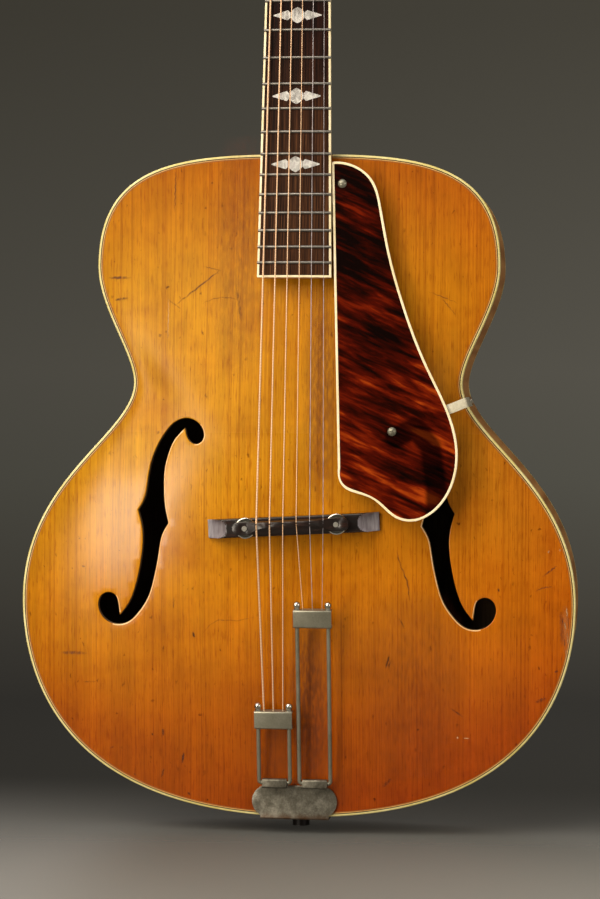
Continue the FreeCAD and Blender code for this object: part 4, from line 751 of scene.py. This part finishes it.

# Wear and painted shadows on the top: ribbons along smooth runs that swell from the tip to the middle and
# fade out at both ends;
# places across and up from the frame's origin, half width, strength, and tone from dark to pale
wearAndShade = {
    "step": 0.9, "lift": 0.04, "columns": 9, "bow": (0.15, 0.1), "wobble": 0.25, "wobbleRates": (37, 29),
    "tip": 0.3, "end": 0.03,
    "marks": (
        (((-95.6, 412.1), (-80, 424), (-59.9, 440)), 0.8, 0.75, 0.3),
        (((-101, 415.6), (-90.2, 408)), 0.7, 0.6, 0.4),
        (((-74.9, 442.3), (-58.3, 438.5)), 0.5, 0.5, 0.4),
        (((-74.7, 412.8), (-62.2, 417.5), (-43.9, 416.1)), 0.5, 0.45, 0.4),
        (((-150.3, 433.3), (-129.9, 433.3)), 1.3, 0.7, 0.35),
        (((-144.9, 415.7), (-138, 417), (-132.7, 417.3)), 1.2, 0.75, 0.2),
        (((-96.8, 516.4), (-97.5, 483.7)), 0.5, 0.85, 0.25),
        (((-101.3, 418.1), (-101.6, 384.5)), 0.6, 0.5, 1),
        (((192.3, 202.2), (204.6, 211.9)), 0.8, 0.7, 0.3),
        (((186.9, 190.9), (194, 194), (202, 194.6)), 0.6, 0.6, 0.4),
        (((196.2, 222.3), (198.4, 221.5)), 1.6, 0.6, 0.9), (((205.2, 223.6), (207.4, 222.5)), 1.2, 0.6, 0.9),
        (((209.9, 181), (211.4, 163), (211.3, 141)), 3.2, 0.22, 0.8),
        (((206.9, 176), (207.9, 160), (207.8, 147)), 2, 0.4, 0.4),
        (((211, 179), (211.9, 170)), 0.7, 0.8, 0.9), (((212.4, 172), (213, 161)), 0.5, 0.75, 0.2),
        (((209.6, 168), (210.4, 160)), 0.8, 0.7, 0.85), (((212, 160), (212.1, 149)), 0.8, 0.8, 0.9),
        (((210, 155), (209.6, 147)), 0.6, 0.7, 0.25), (((211.2, 147), (210.8, 138)), 0.7, 0.7, 0.85),
        (((207.9, 171), (208.9, 163)), 0.5, 0.7, 0.25), (((208.2, 143), (207.6, 136)), 0.5, 0.6, 0.3),
        (((102.1, 423.2), (126.9, 413.5)), 0.5, 0.5, 0.4), (((113, 417.8), (124.6, 403.9)), 0.5, 0.5, 0.4),
        (((-95.1, 183.9), (-95.6, 172.8)), 0.7, 0.8, 0.1), (((-80.4, 156.4), (-78, 150.3)), 1.2, 0.95, 0),
        (((-72.5, 154.1), (-60, 165.3), (-46.6, 165.6), (-29.6, 169.6)), 0.6, 0.4, 0.4),
        (((-188.3, 136.4), (-176, 137), (-164.6, 136.4)), 1.6, 0.5, 0.45),
        (((-169.6, 113.8), (-157.2, 114.3)), 0.8, 0.4, 0.45), (((-105.3, 78.2), (-105.1, 70.9)), 1, 0.9, 0.1),
        (((-88.2, 59.7), (-90.1, 49.9)), 1, 0.9, 0.1), (((-104.2, 46.5), (-106.9, 37.3)), 0.8, 0.8, 0.3),
        (((-148, 61.2), (-143.6, 63.7)), 0.8, 0.6, 0.4), (((-126.9, 42.3), (-128.2, 39.2)), 1.1, 0.8, 0.2),
        (((-85.8, 28.1), (-82.2, 24.6)), 1, 0.8, 0.1), (((-114, 73.4), (-111.6, 73.4)), 1.3, 0.9, 0.1),
        (((80, 222.6), (83.6, 209.9), (88.5, 197.2), (90, 181.6)), 0.7, 0.7, 0.2),
        (((82.3, 169.4), (87.2, 159.5)), 0.7, 0.55, 0.3), (((74.5, 140.1), (71.7, 129.3)), 0.8, 0.85, 0.05),
        (((75.6, 137.3), (73.4, 127.9)), 0.6, 0.8, 0.05), (((157.8, 193.3), (159.9, 189.1)), 1, 0.7, 0.3),
        (((187.9, 104.5), (197.7, 108.9)), 1.6, 0.6, 0.35), (((121.7, 99.1), (133, 91.4)), 0.7, 0.55, 0.35),
        (((127.2, 77), (127.9, 73.8)), 1, 1, 1), (((131.7, 75.6), (138.7, 75.8)), 0.5, 0.7, 1),
        (((69.3, 35.6), (76.5, 43.7)), 1.6, 0.5, 0.1), (((203.2, 130.2), (204.1, 126.4)), 1.8, 0.85, 0.3),
        # broad, faint marks by the strings, the tailpiece and the board, most of them painted shadows
        # painted shadow of the treble rods, with some darker stain between them
        (((13, 175), (13, 100), (13, 28)), 19, 0.5, 0.45),
        # painted shadow of the bass rods
        (((-18, 96), (-18, 60), (-18, 28)), 18, 0.25, 0.45),
        # painted shadow of the board's end and the guard
        (((20, 425), (21, 360), (22, 255)), 16, 0.4, 0.45),
        # a darker worn strip left of the board
        (((-44, 545), (-45, 450), (-46, 350)), 27, 0.25, 0.45),
        # painted shade over the lower treble bout
        (((95, 190), (92, 110), (88, 40)), 48, 0.22, 0.45),
        # two more by the board
        (((-68.4, 506.8), (-66.1, 509.7)), 1, 0.85, 0.1),
        (((-47.6, 427.7), (-45, 412), (-43.1, 398.8)), 1.2, 0.35, 0.35),
    ),
}
columns = np.linspace(-1, 1, wearAndShade["columns"])
ribbons, faces, across, strengths, tones, first = [], [], [], [], [], 0
for path, halfWidth, strength, tone in wearAndShade["marks"]:
    path = np.array(path, float)
    if len(path) == 2:
        path = np.array([path[0], path.mean(0) + wearAndShade["bow"], path[1]])
    line = smoothRun(path, wearAndShade["step"])
    share = np.linspace(0, 1, len(line))
    line = line + wearAndShade["wobble"] * np.sin(np.outer(share, wearAndShade["wobbleRates"]) + path[0])
    swell = np.sqrt(np.sin(np.pi * (wearAndShade["end"] + (1 - 2 * wearAndShade["end"]) * share)))
    width = halfWidth * (wearAndShade["tip"] + (1 - wearAndShade["tip"]) * swell)
    beside = toRight(np.gradient(line, axis=0))
    spots = line[:, None] + (width[:, None] * columns)[..., None] * beside[:, None]
    x, z = spots[..., 0].ravel(), spots[..., 1].ravel() - soundbox["lift"]
    ribbons.append(inRow(x, z, topHeight(x, z) + wearAndShade["lift"]))
    faces += (gridFaces(len(line), len(columns)) + first).tolist()
    across += np.tile(columns, len(line)).tolist()
    strengths += (strength * np.sqrt(np.sin(np.pi * share))).repeat(len(columns)).tolist()
    tones += [tone] * len(x)
    first += len(x)
putPiece("topWearAndPaintedShade", np.concatenate(ribbons), faces, ["wornLacquer"], ["top_plate"], laidOn=True,
         values=[("across", across), ("strength", strengths), ("pale", tones)])
print("wear laid on the top:", len(wearAndShade["marks"]))

# Carved back: rings from the middle of the outside, over the edge, to the middle of the inside
carvedBack = {"columns": 420, "rows": 40, "innermost": 0.02}
columns, arch, backEdge = carvedBack["columns"], soundbox["backArch"], soundbox["backEdge"]
rim, _ = edgeLine(columns, soundbox["binding"])
outer = np.concatenate([rim[None], archRings(carvedBack["rows"], columns, carvedBack["innermost"])])
heights = archHeight(outer[..., 0], outer[..., 1], arch, soundbox["foot"], 0)
hollows = archHeight(outer[..., 0], outer[..., 1], arch, soundbox["hollow"], -backEdge)
shell = np.concatenate([np.dstack([outer, heights])[::-1], np.dstack([outer, hollows])])
ends = [(*archCentre, arch), (*archCentre, arch - backEdge)]
x, z, up = np.concatenate([shell.reshape(-1, 3), ends]).T
rows, turn = len(shell), np.arange(columns)
faces = gridFaces(rows, columns, wrapColumns=True).tolist()
for pole, ring in ((rows * columns, turn), (rows * columns + 1, (rows - 1) * columns + turn)):
    faces += np.stack([np.full(columns, pole), ring, np.roll(ring, -1)], 1).tolist()
innerFaces = np.arange(rows - 1).repeat(columns) >= len(outer)
faceLooks = np.concatenate([innerFaces, np.arange(2).repeat(columns)])
putPiece("carvedBack", inRow(x, z, -soundbox["depth"] - up), faces, ["flamedMaple-back", "bareSpruceInPaintedShade"],
         ["back_plate"], faceLooks)
print("back carved")

# Bridge: a base on the arch with scooped tips, in its own frame slanted across the top
bridge = {
    "level": 230.6, "slant": 3.2, "length": 134, "width": 14.5, "top": 28, "tip": 17.8, "least": 0.2,
    "scoopStart": (51.5, 58), "scoop": 1.6, "footGap": (11, 22), "underside": 21, "seatGap": 0.03,
    # how many stations along; across the base its flat, then places and drops of the rounded side
    "stations": 181, "flat": 5.4, "flatPoints": 9,
    "round": ((6.35, 0), (6.85, 0.14), (7.13, 0.42), (7.25, 0.9)),
}


# Bridge frame: x along the bridge and w towards the nut give the place on the box
def onBridge(x, w):
    turn = math.radians(bridge["slant"])
    return x * math.cos(turn) - w * math.sin(turn), bridge["level"] + x * math.sin(turn) + w * math.cos(turn)


sideW, sideDrop = np.array(bridge["round"]).T
w = np.concatenate([-sideW[::-1], np.linspace(-bridge["flat"], bridge["flat"], bridge["flatPoints"]), sideW])
drop = np.concatenate([sideDrop[::-1], np.zeros(bridge["flatPoints"]), sideDrop])
under = np.linspace(bridge["width"] / 2, -bridge["width"] / 2, bridge["flatPoints"])
x = np.linspace(-bridge["length"] / 2, bridge["length"] / 2, bridge["stations"])[:, None]
# a scoop starts later towards the base's sides and sags as a parabola to the tip
startMiddle, startEdge = bridge["scoopStart"]
start = startMiddle + (startEdge - startMiddle) * (w / bridge["width"] * 2) ** 4
share = np.clip((np.abs(x) - start) / (bridge["length"] / 2 - start), 0, 1)
slope = (bridge["top"] - bridge["tip"]) * share
top = bridge["top"] - slope - 4 * bridge["scoop"] * share * (1 - share) - drop
relief = np.interp(np.abs(x), bridge["footGap"], (bridge["underside"], 0))
low = np.maximum(topHeight(*onBridge(x, under)) + bridge["seatGap"], relief)
heights = np.concatenate([np.maximum(top, low[:, :1] + bridge["least"]), low], 1)
rows, ring = heights.shape
# the scooped tips take the end grain with its painted sheen
middle = np.abs(x[:-1] + x[1:]) / 2
tips = (middle > (start + np.roll(start, -1)) / 2) & (np.arange(len(w)) < len(w) - 1)
tipLooks = np.concatenate([tips, np.zeros((rows - 1, len(under)), bool)], 1).astype(int).ravel().tolist()
faces = gridFaces(rows, ring, wrapColumns=True).tolist() + endFaces(rows, ring)
putPiece("bridgeBase", inRow(*onBridge(x, np.concatenate([w, under])), heights), faces,
         ["darkRosewood", "endGrainPaintedSheen"], ["bridge_base"], tipLooks + [0, 0])
print("bridge base shaped")

# Thumbwheels: a ring turned round its post, with a rounded rim and a finely knurled edge
wheel = {
    "spread": 35.5, "knurls": 30, "knurl": 0.4, "knurledFrom": 8.2, "columns": 240, "sharp": 60,
    "profile": ((2.1, 30.6), (7.6, 30.6), (8.0, 30.75), (8.3, 31.1), (8.4, 31.5), (8.4, 33.4), (8.3, 33.85),
                (8.05, 34.15), (7.7, 34.33), (7.2, 34.4), (2.4, 34.4), (2.1, 34.3)),
}
turns = np.linspace(0, 2 * np.pi, wheel["columns"], endpoint=False)[:, None]
radius, height = np.array(wheel["profile"]).T
cut = wheel["knurl"] * (0.5 - 0.5 * np.cos(wheel["knurls"] * turns)) * (radius > wheel["knurledFrom"])
faces = gridFaces(wheel["columns"], len(height), wrapRows=True, wrapColumns=True)
for side, middle in (("bass", -wheel["spread"]), ("treble", wheel["spread"])):
    place = onBridge(middle + (radius - cut) * np.cos(turns), (radius - cut) * np.sin(turns))
    putPiece("turned-%s-thumbwheel" % side, inRow(*place, height), faces, ["polishedNickel"],
             [side + "_thumbwheel"], sharp=wheel["sharp"])
print("thumbwheels turned")

# Small parts whose edges are eased, with the width in millimetres
easing = {
    "merge": 0.002, "flat": 0.6, "corner": 32, "segments": 2, "sharp": 50,
    # the inlays aren't eased: their wings are let up to the barrel, which leaves no line of board between
    "wingSide": 5.64, "barrelSide": 5.36, "near": 0.1,
    "parts": {
        "tailpiece_bracket": 0.35, "bass_string_holder": 0.3, "treble_string_holder": 0.3,
        "position_inlays": 0, "pickguard_bracket": 0.2, "bridge_saddle": 0.45, "pickguard_binding": 0.35,
        "nut": 0.3,
    },
}


# A carried-over form with its edges eased: its triangles merged, flat faces joined and the corners bevelled;
# the copy keeps its node's finish
def easeNode(node, width):
    mesh = nodes[node].data.copy()
    mesh.name = "eased-" + node
    # the node's stored normals don't fit the merged surface
    if "custom_normal" in mesh.attributes:
        mesh.attributes.remove(mesh.attributes["custom_normal"])
    form = bmesh.new()
    form.from_mesh(mesh)
    bmesh.ops.remove_doubles(form, verts=form.verts, dist=easing["merge"] * mm)
    flat = math.radians(easing["flat"])
    bmesh.ops.dissolve_limit(form, angle_limit=flat, verts=form.verts, edges=form.edges)
    if width:
        corner = math.radians(easing["corner"])
        sharp = [e for e in form.edges if len(e.link_faces) == 2 and e.calc_face_angle(0) > corner]
        bmesh.ops.bevel(form, geom=sharp, offset=width * mm, offset_type="OFFSET", profile=0.5,
                        segments=easing["segments"], affect="EDGES", clamp_overlap=True)
    bmesh.ops.triangulate(form, faces=form.faces)
    form.to_mesh(mesh)
    form.free()
    if not width:
        spots = np.zeros((len(mesh.vertices), 3), np.float32)
        mesh.vertices.foreach_get("co", spots.ravel())
        wing = np.abs(np.abs(spots[:, 0]) - easing["wingSide"] * mm) < easing["near"] * mm
        spots[wing, 0] = np.copysign(easing["barrelSide"] * mm, spots[wing, 0])
        mesh.vertices.foreach_set("co", spots.ravel())
        mesh.update()
    mesh.polygons.foreach_set("use_smooth", np.full(len(mesh.polygons), width > 0))
    mesh.set_sharp_from_angle(angle=math.radians(easing["sharp"]))
    standFor("eased-" + node.replace("_", "-"), mesh, [node])


for node, width in easing["parts"].items():
    easeNode(node, width)
print("edges eased:", len(easing["parts"]))

# Floor: a pale disc that fades out round the guitar and darkens behind it as painted shade, so that the
# backdrop stays plain; its left side is painted darker as shade
floorLook = {
    "level": -2.6 * mm, "radius": 2.2, "count": 96,
    # painted shade: the tone is darker on the left, against the low lamp's light there
    "tones": ((0, "#535350"), (1, "#91928f")), "sides": (-0.4, 0.4),
    # where it fades: with the distance, and from the front to the rear, where the fade stands in for light
    # falling off as painted shade
    "fade": (0.5, 1.8, 1, 0), "depth": (-0.36, 0.24, 1, 0.02), "gloss": 0.7,
}
turns = np.linspace(0, 2 * np.pi, floorLook["count"], endpoint=False)
disc = np.stack([floorLook["radius"] * np.cos(turns), floorLook["radius"] * np.sin(turns),
                 np.full(floorLook["count"], floorLook["level"])], 1)
floorMesh = bpy.data.meshes.new("floor")
floorMesh.from_pydata(disc.tolist(), [], [list(range(floorLook["count"]))])
floor = bpy.data.objects.new("floor", floorMesh)
bpy.context.scene.collection.objects.link(floor)
floorFinish, add, coords, axis = startMaterial("paleFloorWithPaintedShade")
away = add("VectorMath", [coords], operation="LENGTH")
fade = add("MapRange", (away, *floorLook["fade"]), **smooth)
depth = add("MapRange", (axis["Y"], *floorLook["depth"]), **smooth)
cover = add("Math", (fade, depth), operation="MULTIPLY")
# painted shade: darker on the left
aside = add("MapRange", (axis["X"], *floorLook["sides"]))
pale = add("ValToRGB", [aside], floorLook["tones"])
floorMesh.materials.append(feedShader(floorFinish, {"Alpha": cover, "Base Color": pale,
                                                     "Roughness": floorLook["gloss"]}))

# Soft studio light: a key high on the left, a lower one whose shine lies left of the bass sound hole, a weak
# fill from the right, one from above and one behind; place, aim, size, power and tone
lamps = {
    "key": ((-1.2, -1.5, 1.75), (0, -0.05, 0.3), (2.2, 2.0), 84, "#fff3e0"),
    "shine": ((-1.23, -1.85, 0.24), (-0.15, -0.05, 0.2), (0.5, 0.6), 16, "#fff3e0"),
    "fill": ((1.9, -1.5, 0.8), (0, -0.05, 0.3), (1.2, 1.6), 17, "#fff4e6"),
    "above": ((0.1, -0.9, 2.4), (0, 0, 0.4), (1.2, 1.0), 10, "#ffffff"),
    "behind": ((-1.3, 2.2, 1.4), (0, 0, 0.4), (1.4, 1.4), 34, "#fff7ee"),
}


# A frame from its three axes and its place
def axesFrame(right, up, back, place):
    turned = np.eye(4)
    turned[:3] = np.stack([right, up, back, place], 1)
    return Matrix(turned.tolist())


# Camera-like frame: minus z along the line of sight, y as near upright as it can be
def towards(place, aim):
    back = np.array(place, float) - np.array(aim, float)
    back /= np.linalg.norm(back)
    right = np.cross((0, 0, 1), back)
    right /= np.linalg.norm(right)
    return axesFrame(right, np.cross(back, right), back, place)


for name, (place, aim, size, power, tone) in lamps.items():
    data = bpy.data.lights.new(name, "AREA")
    data.shape = "RECTANGLE"
    data.size, data.size_y = size
    data.energy = power
    data.color = paint(tone)[:3]
    light = bpy.data.objects.new(name, data)
    light.matrix_world = towards(place, aim)
    bpy.context.scene.collection.objects.link(light)

# Backdrop: grey that is lightest at the guitar's middle height, darker above and below and to the left
backdrop = {
    "reach": 0.3, "sides": (-0.24, 0.0, 0.84, 1.12),
    "stops": ((-0.3, "#46433c"), (-0.2, "#33312c"), (-0.122, "#302e2a"), (-0.085, "#413e37"),
              (-0.04, "#4c4a42"), (0, "#504d45"), (0.05, "#4b4840"), (0.13, "#413e36"), (0.3, "#3c3932")),
}
world = bpy.data.worlds.new("studio")
world.use_nodes = True
add = partial(addNode, world.node_tree)
sight = add("SeparateXYZ", [add("TexCoord").outputs["Object"]]).outputs
reach = backdrop["reach"]
rise = add("MapRange", (sight["Z"], -reach, reach))
ramp = add("ValToRGB", [rise], [((level + reach) / (2 * reach), code) for level, code in backdrop["stops"]])
sideways = add("MapRange", (sight["X"], *backdrop["sides"]))
feed(world.node_tree, world.node_tree.nodes["Background"], {"Color": ramp, "Strength": sideways})
bpy.context.scene.world = world
bpy.context.scene.view_settings.view_transform = "Standard"

# Camera: where the photograph was taken from
view = {
    "place": (0.25878, -2.12694, 0.36107), "right": (0.9925008, 0.1221154, 0.0054766), "lens": 107.51,
    "up": (-0.0090181, 0.0284670, 0.9995541), "back": (0.1219051, -0.9921076, 0.0293547), "sensor": 36,
}
cameraData = bpy.data.cameras.new("camera")
cameraData.lens = view["lens"]
cameraData.sensor_width = view["sensor"]
camera = bpy.data.objects.new("camera", cameraData)
camera.matrix_world = axesFrame(view["right"], view["up"], view["back"], view["place"])
bpy.context.scene.collection.objects.link(camera)
bpy.context.scene.camera = camera
print("lights and camera set")
